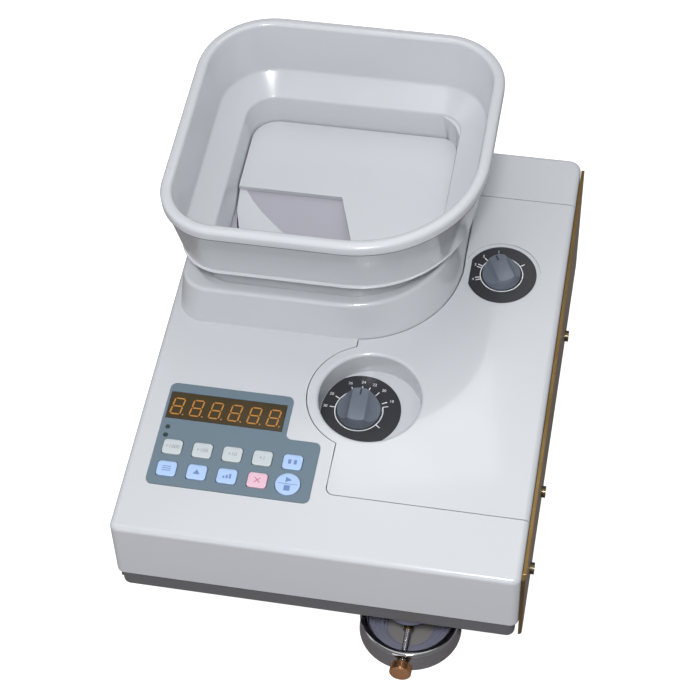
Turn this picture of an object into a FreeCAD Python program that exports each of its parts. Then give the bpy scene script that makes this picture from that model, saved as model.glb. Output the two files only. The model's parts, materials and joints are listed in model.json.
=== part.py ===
"""Coin counter with a tilted hopper: every physical piece is one labelled object.

World frame: X to the right, Y to the back, Z up, floor at Z = 0, body centred on X = Y = 0.
Deck frame: x as the world, v up the sloped top from its front edge, w square to the top.
"""
import FreeCAD, Part
import math
import os
import re

os.makedirs("parts", exist_ok=True)
doc = FreeCAD.newDocument("coin_counter")
dims = doc.addObject("Spreadsheet::Sheet", "dims")

SIZES = [
    # body, millimetres and degrees
    ("body_width", "240"), ("body_depth", "315"), ("front_height", "58"), ("deck_slope", "6.5"),
    ("foot_height", "34"), ("frame_shift", "5.5"), ("pan_height", "15"), ("pan_inset", "2"),
    ("wall_thick", "3"),
    ("seam_gap", "0.6"), ("plate_thick", "2"), ("run_clear", "0.05"), ("slide_clear", "0.4"),
    # lid and its hinge, deck frame
    ("lid_front", "41"), ("lid_left", "0"), ("lid_rear", "278"), ("lid_thick", "2.8"),
    ("hinge_radius", "3.5"), ("pin_radius", "1.2"),
    ("well_x", "14.6"), ("well_v", "112.2"), ("well_radius", "31.2"), ("well_depth", "18"),
    ("well_margin", "7.3"),
    # dials and knobs, deck frame
    ("size_x", "7"), ("size_v", "113"), ("size_label", "25.8"), ("size_skirt", "13.4"),
    ("gate_x", "80.3"), ("gate_v", "216.2"), ("gate_label", "22"), ("gate_flat", "19.8"),
    ("gate_skirt", "12"),
    ("recess_radius", "24.5"), ("recess_depth", "1.2"), ("label_thick", "0.4"),
    ("knob_height", "7.5"), ("knob_scoop", "12"), ("knob_draft", "1.8"), ("knob_gap", "0.7"),
    ("shaft_radius", "2.5"),
    # pedestal under the hopper, deck frame
    ("ped_left", "-115"), ("ped_right", "56"), ("ped_front", "153"), ("ped_rear", "307"),
    ("ped_height", "28"), ("ped_draft", "4"), ("ped_corner", "16"), ("ped_round", "65"),
    # hopper, deck frame
    ("rim_left", "-120"), ("rim_right", "71"), ("rim_front", "148.5"), ("rim_rear", "326"),
    ("rim_level", "95"), ("lip_height", "9"), ("lip_width", "7"), ("lip_step", "2.5"),
    ("skirt_level", "48"), ("crease_level", "60"), ("basin_level", "50"), ("floor_level", "30"),
    ("neck_level", "22"), ("floor_thick", "3"), ("bowl_inset", "29"), ("crease_inset", "11"),
    # key panel, deck frame
    ("panel_left", "-106"), ("panel_right", "-8"), ("panel_step", "-30"),
    ("panel_front", "33"), ("panel_notch", "75"), ("panel_back", "105"),
    ("panel_corner", "4"), ("overlay_thick", "0.6"), ("recess_panel", "0.4"),
    ("key_first", "-95.2"), ("key_pitch", "18.2"), ("key_back_row", "59.4"),
    ("key_front_row", "44.1"), ("key_wide", "11.5"), ("key_deep", "10"), ("key_round", "2"),
    ("start_radius", "7.4"), ("key_rise", "1"), ("board_level", "-8"),
    ("show_left", "-104.5"), ("show_right", "-33"), ("show_front", "79.5"), ("show_back", "98.8"),
    ("lamp_x", "-101.4"), ("lamp_a", "73.3"), ("lamp_b", "67.5"), ("lamp_radius", "1.3"),
    # coin path and disc, deck frame
    ("deck_level", "-28"), ("deck_thick", "4"), ("disc_x", "-22"), ("disc_v", "225"),
    ("disc_radius", "80"), ("disc_thick", "6"), ("rail_x", "60"), ("guide_x", "36"),
    ("throat_x", "-30"), ("throat_v", "232"), ("throat_radius", "60"),
    ("bridge_level", "-58"), ("pulley_radius", "40"), ("pulley_level", "-44"),
    ("motor_x", "65"), ("motor_v", "270"), ("motor_radius", "22"), ("motor_pulley", "10"),
    ("belt_thick", "1.5"), ("belt_gap", "0.35"), ("rack_pitch", "2.2"),
    ("track_x", "55"), ("track_front", "55"), ("track_back", "165"), ("track_level", "-14"),
    ("track_radius", "8"),
    # outlet under the front, world frame
    ("outlet_x", "54"), ("outlet_back", "21"), ("tube_radius", "14"), ("ring_radius", "31"),
    ("ring_level", "16"), ("ring_height", "14"), ("screw_level", "10.5"), ("screw_radius", "2"),
    # feet, world frame
    ("foot_x", "97"), ("foot_front", "42"), ("foot_rear", "32"), ("foot_radius", "13"),
]
for row, (size_name, size_value) in enumerate(SIZES, 1):
    dims.set("A%d" % row, size_name)
    dims.set("B%d" % row, size_value)
    dims.setAlias("B%d" % row, size_name)
doc.recompute()


def size(name):
    """The number now in the named cell."""
    return float(dims.get(name))


def bind(thing, prop, formula):
    """Tie a property to the sheet: every word with an underscore is a named size."""
    thing.setExpression(prop, re.sub(r"\b([a-z]+(?:_[a-z]+)+)\b", r"dims.\1", str(formula)))


def place(thing, x, y, z):
    for axis, formula in zip("xyz", (x, y, z)):
        bind(thing, "Placement.Base." + axis, formula)
    return thing


def box(x, y, z):
    """A block from three (low, high) pairs of formulas."""
    thing = doc.addObject("Part::Box", "block")
    for prop, (low, high) in zip(("Length", "Width", "Height"), (x, y, z)):
        bind(thing, prop, "(%s) - (%s)" % (high, low))
    return place(thing, x[0], y[0], z[0])


def rod(radius, across, along, axis="z", top=None):
    """A cylinder, or a cone where its top radius differs, along one axis."""
    kind = "Part::Cylinder" if top is None else "Part::Cone"
    thing = doc.addObject(kind, "round")
    bind(thing, "Radius" if top is None else "Radius1", radius)
    if top is not None:
        bind(thing, "Radius2", top)
    low, high = along
    bind(thing, "Height", "(%s) - (%s)" % (high, low))
    turn = {"x": ((0, 1, 0), 90), "y": ((1, 0, 0), -90), "z": ((0, 0, 1), 0)}[axis]
    thing.Placement.Rotation = FreeCAD.Rotation(FreeCAD.Vector(*turn[0]), turn[1])
    spot = list(across)
    spot.insert("xyz".index(axis), low)
    return place(thing, *spot)


def bead(major, minor, x, y, z):
    thing = doc.addObject("Part::Torus", "bead")
    bind(thing, "Radius1", major)
    bind(thing, "Radius2", minor)
    return place(thing, x, y, z)


def wedge(x, y, low, front, rear):
    """A block with a sloped top: its front and rear heights differ."""
    thing = doc.addObject("Part::Wedge", "wedge")
    for prop, formula in (("Xmin", x[0]), ("Xmax", x[1]), ("X2min", x[0]), ("X2max", x[1]),
                          ("Ymin", y[0]), ("Ymax", y[1]), ("Zmin", low), ("Z2min", low),
                          ("Zmax", front), ("Z2max", rear)):
        bind(thing, prop, formula)
    return thing


def cut(base, *tools):
    for tool in tools:
        thing = doc.addObject("Part::Cut", "cut")
        thing.Base, thing.Tool = base, tool
        base = thing
    return base


def fuse(*things):
    thing = doc.addObject("Part::MultiFuse", "fuse")
    thing.Shapes = list(things)
    return thing


def common(base, tool):
    thing = doc.addObject("Part::Common", "common")
    thing.Base, thing.Tool = base, tool
    return thing


def group(*things):
    thing = doc.addObject("Part::Compound", "group")
    thing.Links = list(things)
    return thing


def deck(*things):
    """The same pieces carried into the deck frame."""
    thing = group(*things)
    thing.Placement.Rotation = FreeCAD.Rotation(FreeCAD.Vector(1, 0, 0), size("deck_slope"))
    bind(thing, "Placement.Rotation.Angle", "deck_slope * 1 deg")
    return place(thing, "0", "-body_depth / 2", "foot_height + front_height")


def rounded(base, radius, wanted):
    """Fillet the edges whose middle point passes the test."""
    doc.recompute()
    thing = doc.addObject("Part::Fillet", "rounded")
    thing.Base = base
    picked = []
    for number, edge in enumerate(base.Shape.Edges, 1):
        middle = edge.valueAt((edge.FirstParameter + edge.LastParameter) / 2)
        ends = edge.Vertexes[-1].Point - edge.Vertexes[0].Point
        if wanted(middle, ends):
            picked.append((number, radius, radius))
    thing.Edges = picked
    return thing


def solid(shape):
    thing = doc.addObject("Part::Feature", "shaped")
    thing.Shape = shape
    return thing


def point(x, y, z=0.0):
    return FreeCAD.Vector(x, y, z)


def outline(left, right, front, rear, corners, level):
    """A rectangle with its own radius at front-left, front-right, rear-right and rear-left."""
    fl, fr, rr, rl = corners
    h = 1 - math.sqrt(0.5)
    edges = [
        Part.makeLine(point(left + fl, front, level), point(right - fr, front, level)),
        Part.Arc(point(right - fr, front, level), point(right - fr * h, front + fr * h, level),
                 point(right, front + fr, level)).toShape(),
        Part.makeLine(point(right, front + fr, level), point(right, rear - rr, level)),
        Part.Arc(point(right, rear - rr, level), point(right - rr * h, rear - rr * h, level),
                 point(right - rr, rear, level)).toShape(),
        Part.makeLine(point(right - rr, rear, level), point(left + rl, rear, level)),
        Part.Arc(point(left + rl, rear, level), point(left + rl * h, rear - rl * h, level),
                 point(left, rear - rl, level)).toShape(),
        Part.makeLine(point(left, rear - rl, level), point(left, front + fl, level)),
        Part.Arc(point(left, front + fl, level), point(left + fl * h, front + fl * h, level),
                 point(left + fl, front, level)).toShape(),
    ]
    return Part.Wire(edges)


def loft(*wires):
    return solid(Part.makeLoft(list(wires), True, True))


def prism(wire, low, high):
    face = Part.Face(wire)
    face.translate(point(0, 0, low - wire.BoundBox.ZMin))
    return solid(face.extrude(point(0, 0, high - low)))


NODES = []


def node(name, thing):
    """Label the finished piece: its node is written out under this name."""
    whole = group(thing)
    whole.Label = name
    NODES.append(whole)
    return whole


LEFT = "-body_width / 2"
FRONT, REAR = "(-body_depth / 2)", "(body_depth / 2)"
RIGHT, LEFT = "(body_width / 2)", "(-body_width / 2)"
BOTTOM = "foot_height"
PAN_TOP = "(foot_height + pan_height)"
TOP_FRONT = "(foot_height + front_height)"
SLOPE = "tan(deck_slope * 1 deg)"
TOP_REAR = "(foot_height + front_height + body_depth * %s)" % SLOPE
UNDER = "(deck_level - deck_thick)"


def below_top(y, drop):
    """Height of a plane parallel to the top and a drop below it, at a world y."""
    return "(%s + (%s + body_depth / 2) * %s - (%s) / cos(deck_slope * 1 deg))" % (
        TOP_FRONT, y, SLOPE, drop)


# Base pan: the dark tray that shows as a strip round the foot of the body.
pan_y = ("%s + pan_inset" % FRONT, "%s - pan_inset" % REAR)
pan_x = ("%s + pan_inset" % LEFT, "%s - pan_inset" % RIGHT)
tray = rounded(box(pan_x, pan_y, (BOTTOM, PAN_TOP)), 5,
               lambda m, e: abs(e.z) > 1 and math.hypot(e.x, e.y) < 0.1)
tray = rounded(tray, 2.5, lambda m, e: abs(m.z - size("foot_height")) < 0.01)
tray_hollow = box(("%s + pan_inset + 2.5" % LEFT, "%s - pan_inset - 2.5" % RIGHT),
                  ("%s + pan_inset + 2.5" % FRONT, "%s - pan_inset - 2.5" % REAR),
                  ("foot_height + 2.5", "foot_height + pan_height + 1"))
tube_y = "(-body_depth / 2 + outlet_back)"
drop_hole = rod("tube_radius + 1.5", ("outlet_x", tube_y), ("foot_height - 1", "foot_height + 4"))
node("base_pan", cut(tray, tray_hollow, drop_hole))

# Four tall rubber feet, each held by a screw from below.
feet, foot_screws = [], []
for foot_x in ("foot_x", "-foot_x"):
    for foot_y in ("-body_depth / 2 + foot_front", "body_depth / 2 - foot_rear"):
        spot = (foot_x, foot_y)
        boot = rod("foot_radius - 1", spot, ("0", "foot_height"), top="foot_radius + 1")
        feet.append(cut(boot, rod("5", spot, ("-1", "6")), rod("2.1", spot, ("5", "foot_height + 1"))))
        foot_screws.append(fuse(rod("4.6", spot, ("3", "6")), rod("2", spot, ("5.5", "foot_height - 0.2"))))
node("rubber_feet", group(*feet))

# Main cover: sloped shell with the hopper pedestal, open where the lid and the key panel sit.
hull = wedge((LEFT, RIGHT), (FRONT, REAR), PAN_TOP, TOP_FRONT, TOP_REAR)
half_w, half_d = size("body_width") / 2, size("body_depth") / 2
hull = rounded(hull, 8, lambda m, e: abs(e.z) > 5 and abs(e.y) < 1 and m.y > 0)
hull = rounded(hull, 5, lambda m, e: abs(e.z) > 5 and abs(e.y) < 1 and m.y < 0)
hull = rounded(hull, size("hinge_radius"),
               lambda m, e: m.z > size("foot_height") + size("front_height") - 2.0 and abs(e.z) < 60
               and m.z > size("foot_height") + size("pan_height") + 5)
hollow = wedge(("%s + wall_thick" % LEFT, "%s - wall_thick" % RIGHT),
               ("%s + wall_thick" % FRONT, "%s - wall_thick" % REAR), "foot_height",
               below_top("(%s + wall_thick)" % FRONT, "wall_thick"),
               below_top("(%s - wall_thick)" % REAR, "wall_thick"))
side_y = ("(%s + 7)" % FRONT, "(%s - 10)" % REAR)
side_cuts = []
for low, high in (("%s - wall_thick - 0.5" % RIGHT, "%s + 1" % RIGHT),
                  ("%s - 1" % LEFT, "%s + wall_thick + 0.5" % LEFT)):
    side_cuts.append(wedge((low, high), side_y, "foot_height",
                           below_top(side_y[0], "2 * hinge_radius + 0.6"),
                           below_top(side_y[1], "2 * hinge_radius + 0.6")))
shell = cut(hull, hollow, *side_cuts)


def pedestal(level, inset):
    """Pedestal outline at a level, drawn in by its draft and a further inset."""
    drawn = inset + size("ped_draft") * max(level, 0) / size("ped_height")
    corner = size("ped_corner") - inset
    return outline(size("ped_left") + drawn, size("ped_right") - drawn, size("ped_front") + drawn,
                   size("ped_rear") - drawn, (corner, size("ped_round") - inset, corner, corner), level)


def basin(left, right, front, rear, inset, level, corners):
    return outline(left + inset, right - inset, front + inset, rear - inset,
                   [max(c - inset, 3.0) for c in corners], level)


ped_h, wall = size("ped_height"), size("wall_thick")
neck_corners = (24, 60, 24, 34)
neck_sides = (size("ped_left") + 10, size("ped_right") - 6.5, size("ped_front") + 8, size("ped_rear") - 7)
rim_corners = (36, 78, 40, 46)


def neck(inset, level):
    return basin(*neck_sides, inset, level, neck_corners)


def rim(inset, level):
    """Hopper outline at a level, drawn in from the outside of the rim."""
    return basin(size("rim_left"), size("rim_right"), size("rim_front"), size("rim_rear"), inset, level,
                 rim_corners)


def bowl_floor(inset, level):
    return rim(size("bowl_inset") + inset, level)


neck_low = size("neck_level")
stand = loft(pedestal(-1.5, 0), pedestal(0, 0), pedestal(ped_h, 0))
stand = rounded(stand, 2.5, lambda m, e: m.z > ped_h - 0.01)
stand_hollow = loft(pedestal(-4.5, wall), pedestal(0, wall), pedestal(ped_h - wall, wall))
seat = cut(loft(pedestal(neck_low - 4, wall - 0.8), pedestal(neck_low, wall - 0.8)),
           prism(bowl_floor(-1, 0), neck_low - 5, neck_low + 1))
neck_hole = prism(neck(-0.4, 0), neck_low, ped_h + 1)


def lid_outline(inset):
    """Lid outline: straight front, arc round the well, arc along the pedestal, straight back."""
    r_corner = 5.0
    left, front, rear = size("lid_left"), size("lid_front"), size("lid_rear")
    side = size("body_width") / 2 + 1
    cx, cv = size("well_x"), size("well_v")
    r = size("well_radius") + size("well_margin")
    reach = math.sqrt(r * r - (cx - left) ** 2)
    turn = size("ped_round")
    px, pv = size("ped_right") - turn, size("ped_front") + turn
    meet = pv - math.sqrt(turn * turn - (left - px) ** 2)
    angle = (math.atan2(meet - pv, left - px)) / 2
    h = 1 - math.sqrt(0.5)
    edges = [
        Part.makeLine(point(side, front), point(left + r_corner, front)),
        Part.Arc(point(left + r_corner, front), point(left + r_corner * h, front + r_corner * h),
                 point(left, front + r_corner)).toShape(),
        Part.makeLine(point(left, front + r_corner), point(left, cv - reach)),
        Part.Arc(point(left, cv - reach), point(cx - r, cv), point(left, cv + reach)).toShape(),
        Part.makeLine(point(left, cv + reach), point(left, meet)),
        Part.Arc(point(left, meet), point(px + turn * math.cos(angle), pv + turn * math.sin(angle)),
                 point(px + turn, pv)).toShape(),
        Part.makeLine(point(px + turn, pv), point(px + turn, rear)),
        Part.makeLine(point(px + turn, rear), point(side, rear)),
        Part.makeLine(point(side, rear), point(side, front)),
    ]
    face = Part.Face(Part.Wire(edges))
    return face.makeOffset2D(-inset, join=2) if inset else face


lid_hole = solid(lid_outline(0).extrude(point(0, 0, -2 * size("hinge_radius") - 1.5)))
lid_hole.Placement.Base.z = 0.5
ledges = [
    box(("lid_left + 10", "body_width / 2 - 9"), ("lid_front - 4", "lid_front + 3"),
        ("-lid_thick - 3.2", "-lid_thick - 0.2")),
    box(("ped_right + 4", "body_width / 2 - 9"), ("lid_rear - 3", "lid_rear + 4"),
        ("-lid_thick - 3.2", "-lid_thick - 0.2")),
    box(("lid_left - 5", "lid_left + 3"), ("lid_front + 9", "lid_front + 28"),
        ("-lid_thick - 3.2", "-lid_thick - 0.2")),
]
hinge_at = ("body_width / 2 - hinge_radius", "-hinge_radius")
hinge_ends = [("lid_front - 9", "lid_front - seam_gap"), ("lid_rear + seam_gap", "lid_rear + 9")]
bosses = [rod("hinge_radius - 0.3", hinge_at, ends, "y") for ends in hinge_ends]
pin_bore = rod("pin_radius + 0.01", hinge_at, ("lid_front - 7", "lid_rear + 7"), "y")

# Openings in the cover for the overlay, the keys, the display and the two lamps.
show_hole = box(("show_left", "show_right"), ("show_front", "show_back"), ("-5", "2"))
lamp_spots = [("lamp_x", "lamp_a"), ("lamp_x", "lamp_b")]
KEYS = [
    ("key_thousands", 0, "key_back_row"), ("key_hundreds", 1, "key_back_row"),
    ("key_tens", 2, "key_back_row"), ("key_ones", 3, "key_back_row"),
    ("key_count_mode", 4, "key_back_row"), ("key_batch", 0, "key_front_row"),
    ("key_memory", 1, "key_front_row"), ("key_total", 2, "key_front_row"),
    ("key_clear", 3, "key_front_row"), ("key_start", 4, "key_front_row"),
]


def key_block(column, row_v, grow, low, high):
    """A key outline as a rounded block, or as a disc for the start key."""
    x = "(key_first + %d * key_pitch)" % column
    if column == 4 and row_v == "key_front_row":
        return rod("start_radius + (%s)" % grow, (x, row_v), (low, high))
    block = box(("%s - key_wide / 2 - (%s)" % (x, grow), "%s + key_wide / 2 + (%s)" % (x, grow)),
                ("%s - key_deep / 2 - (%s)" % (row_v, grow), "%s + key_deep / 2 + (%s)" % (row_v, grow)),
                (low, high))
    return rounded(block, size("key_round"), lambda m, e: math.hypot(e.x, e.y) < 0.01)


def panel_face(grow):
    """The L-shaped overlay: wide along the keys, narrow beside the display, every corner rounded."""
    bend = size("panel_corner")
    left, right = size("panel_left") - grow, size("panel_right") + grow
    step, notch = size("panel_step") + grow, size("panel_notch") + grow
    front, back = size("panel_front") - grow, size("panel_back") + grow
    corners = [(left, front, bend), (right, front, bend), (right, notch, bend),
               (step, notch, bend - grow), (step, back, bend), (left, back, bend)]
    edges, last = [], None
    for n in range(len(corners) + 1):
        (x0, y0, _), (x, y, r), (x1, y1, _) = [corners[(n + k) % 6] for k in (-1, 0, 1)]
        corner = point(x, y, 0)
        come = (corner - point(x0, y0, 0)).normalize()
        go = (point(x1, y1, 0) - corner).normalize()
        start, end = corner - come * r, corner + go * r
        if last:
            edges.append(Part.makeLine(last, start))
        if n < len(corners):
            edges.append(Part.Arc(start, start + go * r + (come - go) * (r / math.sqrt(2)), end).toShape())
        last = end
    return Part.Face(Part.Wire(edges))


recess = solid(panel_face(0.25).extrude(point(0, 0, 2)))
recess.Placement.Base.z = -size("recess_panel")
key_holes = [key_block(c, row_v, "slide_clear", "-5", "2") for _, c, row_v in KEYS]
lamp_holes = [rod("lamp_radius + 0.2", spot, ("-5", "2")) for spot in lamp_spots]
rear_hole = box(("-100", "-22"), ("%s - wall_thick - 1" % REAR, "%s + 1" % REAR),
                ("foot_height + 18", "foot_height + 62"))
vents = [box(("20 + %d * 9" % n, "24 + %d * 9" % n), ("%s - wall_thick - 1" % REAR, "%s + 1" % REAR),
             ("foot_height + 24", "foot_height + 58")) for n in range(8)]
cover = fuse(shell, deck(stand))
cover = cut(cover, deck(stand_hollow))
cover = fuse(cover, deck(seat))
cover = cut(cover, deck(neck_hole), deck(lid_hole))
cover = fuse(cover, deck(*ledges), deck(*bosses))
cover = cut(cover, deck(pin_bore), deck(recess), deck(show_hole), deck(*key_holes), deck(*lamp_holes),
            rear_hole, group(*vents))
node("main_cover", cover)

# Steel side plates with flat heads that stand proud near the foot of each plate.
plates, heads = [], []
gap = "0.3"
for side, name in ((1, "side_plate_right"), (-1, "side_plate_left")):
    if side > 0:
        inner, outer, below = "body_width / 2 + %s" % gap, "body_width / 2 + %s + plate_thick" % gap, "hinge_radius"
        plate_y = ("(%s + 8)" % FRONT, "(%s - 5)" % REAR)
    else:
        inner, outer, below = "body_width / 2 - pan_inset", "body_width / 2 - 0.4", "2 * hinge_radius + 1"
        plate_y = ("(%s + 7 + %s)" % (FRONT, gap), "(%s - 10 - %s)" % (REAR, gap))
    x_pair = (inner, outer) if side > 0 else ("-(%s)" % outer, "-(%s)" % inner)
    plate = wedge(x_pair, plate_y, "foot_height + 1",
                  below_top(plate_y[0], below), below_top(plate_y[1], below))
    plate = rounded(plate, 1.2, lambda m, e: abs(e.x) > 0.5 and m.z > size("foot_height") + 5)
    for screw_y in ("%s + 43.5" % FRONT, "%s + 101.5" % FRONT, "%s + 232" % FRONT):
        spot = (screw_y, "foot_height + 13.5")
        high = "%s + 2.4" % outer
        hole_x = ("body_width / 2 - 3", high)
        head_x = (outer, high)
        if side < 0:
            hole_x, head_x = ["-(%s)" % s for s in hole_x[::-1]], ["-(%s)" % s for s in head_x[::-1]]
        plate = cut(plate, rod("2", spot, hole_x, "x"))
        shank_x = ("body_width / 2 - pan_inset + %s * %d" % (gap, max(side, 0)), "%s + 0.2" % outer)
        if side < 0:
            shank_x = ["-(%s)" % s for s in shank_x[::-1]]
        heads.append(fuse(rod("3.6", spot, head_x, "x"), rod("1.9", spot, shank_x, "x")))
    node(name, plate)
node("case_screws", group(*heads, *foot_screws))

# Rear socket plate with mains inlet, rocker switch and fuse cap.
plate_r = box(("-104", "-18"), (REAR, "%s + 1.5" % REAR), ("foot_height + 14", "foot_height + 66"))
inlet_hole = box(("-94", "-66"), ("%s - 1" % REAR, "%s + 3" % REAR), ("foot_height + 30", "foot_height + 50"))
rocker_hole = box(("-58", "-44"), ("%s - 1" % REAR, "%s + 3" % REAR),
                  ("foot_height + 29", "foot_height + 51"))
fuse_hole = rod("6", ("-32", "foot_height + 40"), ("%s - 1" % REAR, "%s + 3" % REAR), "y")
node("rear_plate", cut(plate_r, inlet_hole, rocker_hole, fuse_hole))
inlet = box(("-93.8", "-66.2"), ("%s - 18" % REAR, "%s + 3" % REAR),
            ("foot_height + 30.2", "foot_height + 49.8"))
inlet_well = box(("-91", "-69"), ("%s - 13" % REAR, "%s + 4" % REAR),
                 ("foot_height + 33", "foot_height + 47"))
pins = [box(("%s - 1" % x, "%s + 1" % x), ("%s - 14" % REAR, "%s" % REAR),
            ("foot_height + %s" % z, "foot_height + %s + 4" % z)) for x,
            z in ((-86, 35), (-80, 40), (-74, 35))]
switch_frame = box(("-57.8", "-44.2"), ("%s - 14" % REAR, "%s + 3" % REAR),
                   ("foot_height + 29.2", "foot_height + 50.8"))
switch_well = box(("-56", "-46"), ("%s - 8" % REAR, "%s + 4" % REAR),
                  ("foot_height + 31", "foot_height + 49"))
switch_frame = cut(switch_frame, switch_well,
                   rod("1.05", ("%s - 2" % REAR, "foot_height + 40"), ("-57", "-45"), "x"))
node("power_inlet", group(fuse(cut(inlet, inlet_well), *pins), switch_frame))
rocker = common(box(("-55.5", "-46.5"), ("%s - 6" % REAR, "%s + 6" % REAR),
                    ("foot_height + 31.7", "foot_height + 48.3")),
                rod("8.2", ("%s - 2" % REAR, "foot_height + 40"), ("-56", "-46"), "x"))
node("power_switch", fuse(rocker, rod("1", ("%s - 2" % REAR, "foot_height + 40"), ("-56.8", "-45.2"), "x")))
node("fuse_cap", fuse(rod("5.9", ("-32", "foot_height + 40"), ("%s - 16" % REAR, "%s + 2" % REAR), "y"),
                      rod("7.5", ("-32", "foot_height + 40"), ("%s + 1.5" % REAR, "%s + 8" % REAR), "y",
                          top="6.5")))

# Coin deck: the metal plate that carries disc, rail, track and knob bushes.
deck_plate = box(("-(body_width / 2 - 14)", "body_width / 2 - 8"), ("10", "body_depth - 9"),
                 (UNDER, "deck_level"))
deck_plate = cut(deck_plate, rod("disc_radius + 0.6", ("disc_x", "disc_v"),
                                 ("deck_level - 9", "deck_level + 1")))
drop = rod("tube_radius + 0.5", ("outlet_x", tube_y), ("foot_height + 4", "%s - 4" % TOP_FRONT))
knob_bores = [rod("shaft_radius + run_clear", (x, v), ("deck_level - 9", "deck_level + 1"))
              for x, v in (("size_x", "size_v"), ("gate_x", "gate_v"))]
node("coin_deck", cut(deck(cut(deck_plate, *knob_bores)), drop))

# Posts between pan and deck.
posts = [rod("4", (x, y), ("foot_height + 2.5", "body_depth")) for x, y in (
    ("%s + 20" % LEFT, "-120"), ("body_width / 2 - 18", "-95"), ("%s + 20" % LEFT, "128"),
    ("body_width / 2 - 20", "134"))]
over_deck = deck(box(("-150", "150"), ("-60", "420"), (UNDER, "260")))
node("deck_posts", group(*[cut(post, over_deck) for post in posts]))

# Feed disc with its shaft, bearing and pulley, and the bridge that hangs below the deck.
hub = ("disc_x", "disc_v")
disc = rod("disc_radius", hub, ("deck_level - disc_thick", "deck_level"))
grooves = [cut(rod("%d + 1.2" % r, hub, ("deck_level - 0.6", "deck_level + 1")),
               rod("%d" % r, hub, ("deck_level - 1", "deck_level + 2"))) for r in (30, 48, 66)]
node("feed_disc", cut(disc, *grooves))
node("disc_shaft", rod("5", hub, ("bridge_level + 1", "deck_level - disc_thick")))
node("disc_pulley", cut(rod("pulley_radius", hub, ("pulley_level", "pulley_level + 6")),
                        rod("5", hub, ("pulley_level - 1", "pulley_level + 7"))))
bearing = cut(rod("11", hub, ("bridge_level", "pulley_level - 1")),
              rod("5 + run_clear", hub, ("bridge_level + 0.5", "pulley_level")))
motor_at = ("motor_x", "motor_v")
bridge = box(("-93", "96"), ("212", "290"), ("bridge_level - 4", "bridge_level"))
bridge = cut(bridge, rod("7", motor_at, ("bridge_level - 5", "bridge_level + 1")))
hangers = [rod("3.5", (x, v), ("bridge_level", UNDER)) for x, v in (
    ("-88", "286"), ("91", "286"), ("91", "219"))]
node("motor_bridge", fuse(bridge, bearing, *hangers))
node("drive_motor", fuse(rod("motor_radius", motor_at, ("bridge_level - 23", "bridge_level - 4")),
                         rod("6.8", motor_at, ("bridge_level - 5", "bridge_level + 2"))))
node("motor_pulley", fuse(rod("motor_pulley", motor_at, ("pulley_level", "pulley_level + 6")),
                          rod("3", motor_at, ("bridge_level + 2.5", "pulley_level + 1"))))


def hull_face(c1, r1, c2, r2):
    """The outline of a belt stretched round two circles."""
    d = point(c2[0] - c1[0], c2[1] - c1[1])
    base = math.atan2(d.y, d.x)
    lean = math.acos((r1 - r2) / d.Length)
    a, b = base + lean, base - lean

    def on(c, r, angle):
        return point(c[0] + r * math.cos(angle), c[1] + r * math.sin(angle))

    edges = [
        Part.Arc(on(c1, r1, a), on(c1, r1, base + math.pi), on(c1, r1, b)).toShape(),
        Part.makeLine(on(c1, r1, b), on(c2, r2, b)),
        Part.Arc(on(c2, r2, b), on(c2, r2, base), on(c2, r2, a)).toShape(),
        Part.makeLine(on(c2, r2, a), on(c1, r1, a)),
    ]
    return Part.Face(Part.Wire(edges))


def belt(c1, r1, c2, r2, low, high):
    near, far = size("belt_gap"), size("belt_gap") + size("belt_thick")
    band = hull_face(c1, r1 + far, c2, r2 + far).cut(hull_face(c1, r1 + near, c2, r2 + near))
    loop = band.extrude(point(0, 0, high - low))
    loop.translate(point(0, 0, low))
    return solid(loop)


disc_c, motor_c = (size("disc_x"), size("disc_v")), (size("motor_x"), size("motor_v"))
node("drive_belt", belt(disc_c, size("pulley_radius"), motor_c, size("motor_pulley"),
                        size("pulley_level") + 1, size("pulley_level") + 5))

# Rim round the disc, open at the exit where coins leave for the track.
ring = cut(rod("disc_radius + 4", hub, ("deck_level", "deck_level + 8")),
           rod("disc_radius + 0.6", hub, ("deck_level - 1", "deck_level + 9")),
           box(("disc_x", "disc_x + 90"), ("disc_v - 70", "disc_v"), ("deck_level - 1", "deck_level + 9")))
node("disc_rim", ring)

# Throat from the bowl to the disc, with the plate under the bowl floor and the feed ramp.
throat_at = ("throat_x", "throat_v")
neck_seat = prism(bowl_floor(-3, 0), neck_low - 7.5, neck_low - 4)
tube_out = rod("throat_radius + 2.5", throat_at, ("deck_level + 7", "neck_level - 5"))
tube_in = rod("throat_radius", throat_at, ("deck_level + 6", "neck_level - 2"))
ramp_tilt = group(box(("throat_x - 56", "throat_x + 30"), ("-46", "0"), ("-2", "0")))
ramp_tilt.Placement = FreeCAD.Placement(point(0, 240, size("floor_level") - size("floor_thick") - 0.6),
                                        FreeCAD.Rotation(point(1, 0, 0), 29.0))
ramp_core = rod("throat_radius + 1", throat_at, ("-40", "floor_level - floor_thick - 0.5"))
node("feed_throat", fuse(cut(fuse(neck_seat, tube_out), tube_in), common(ramp_tilt, ramp_core)))

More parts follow.
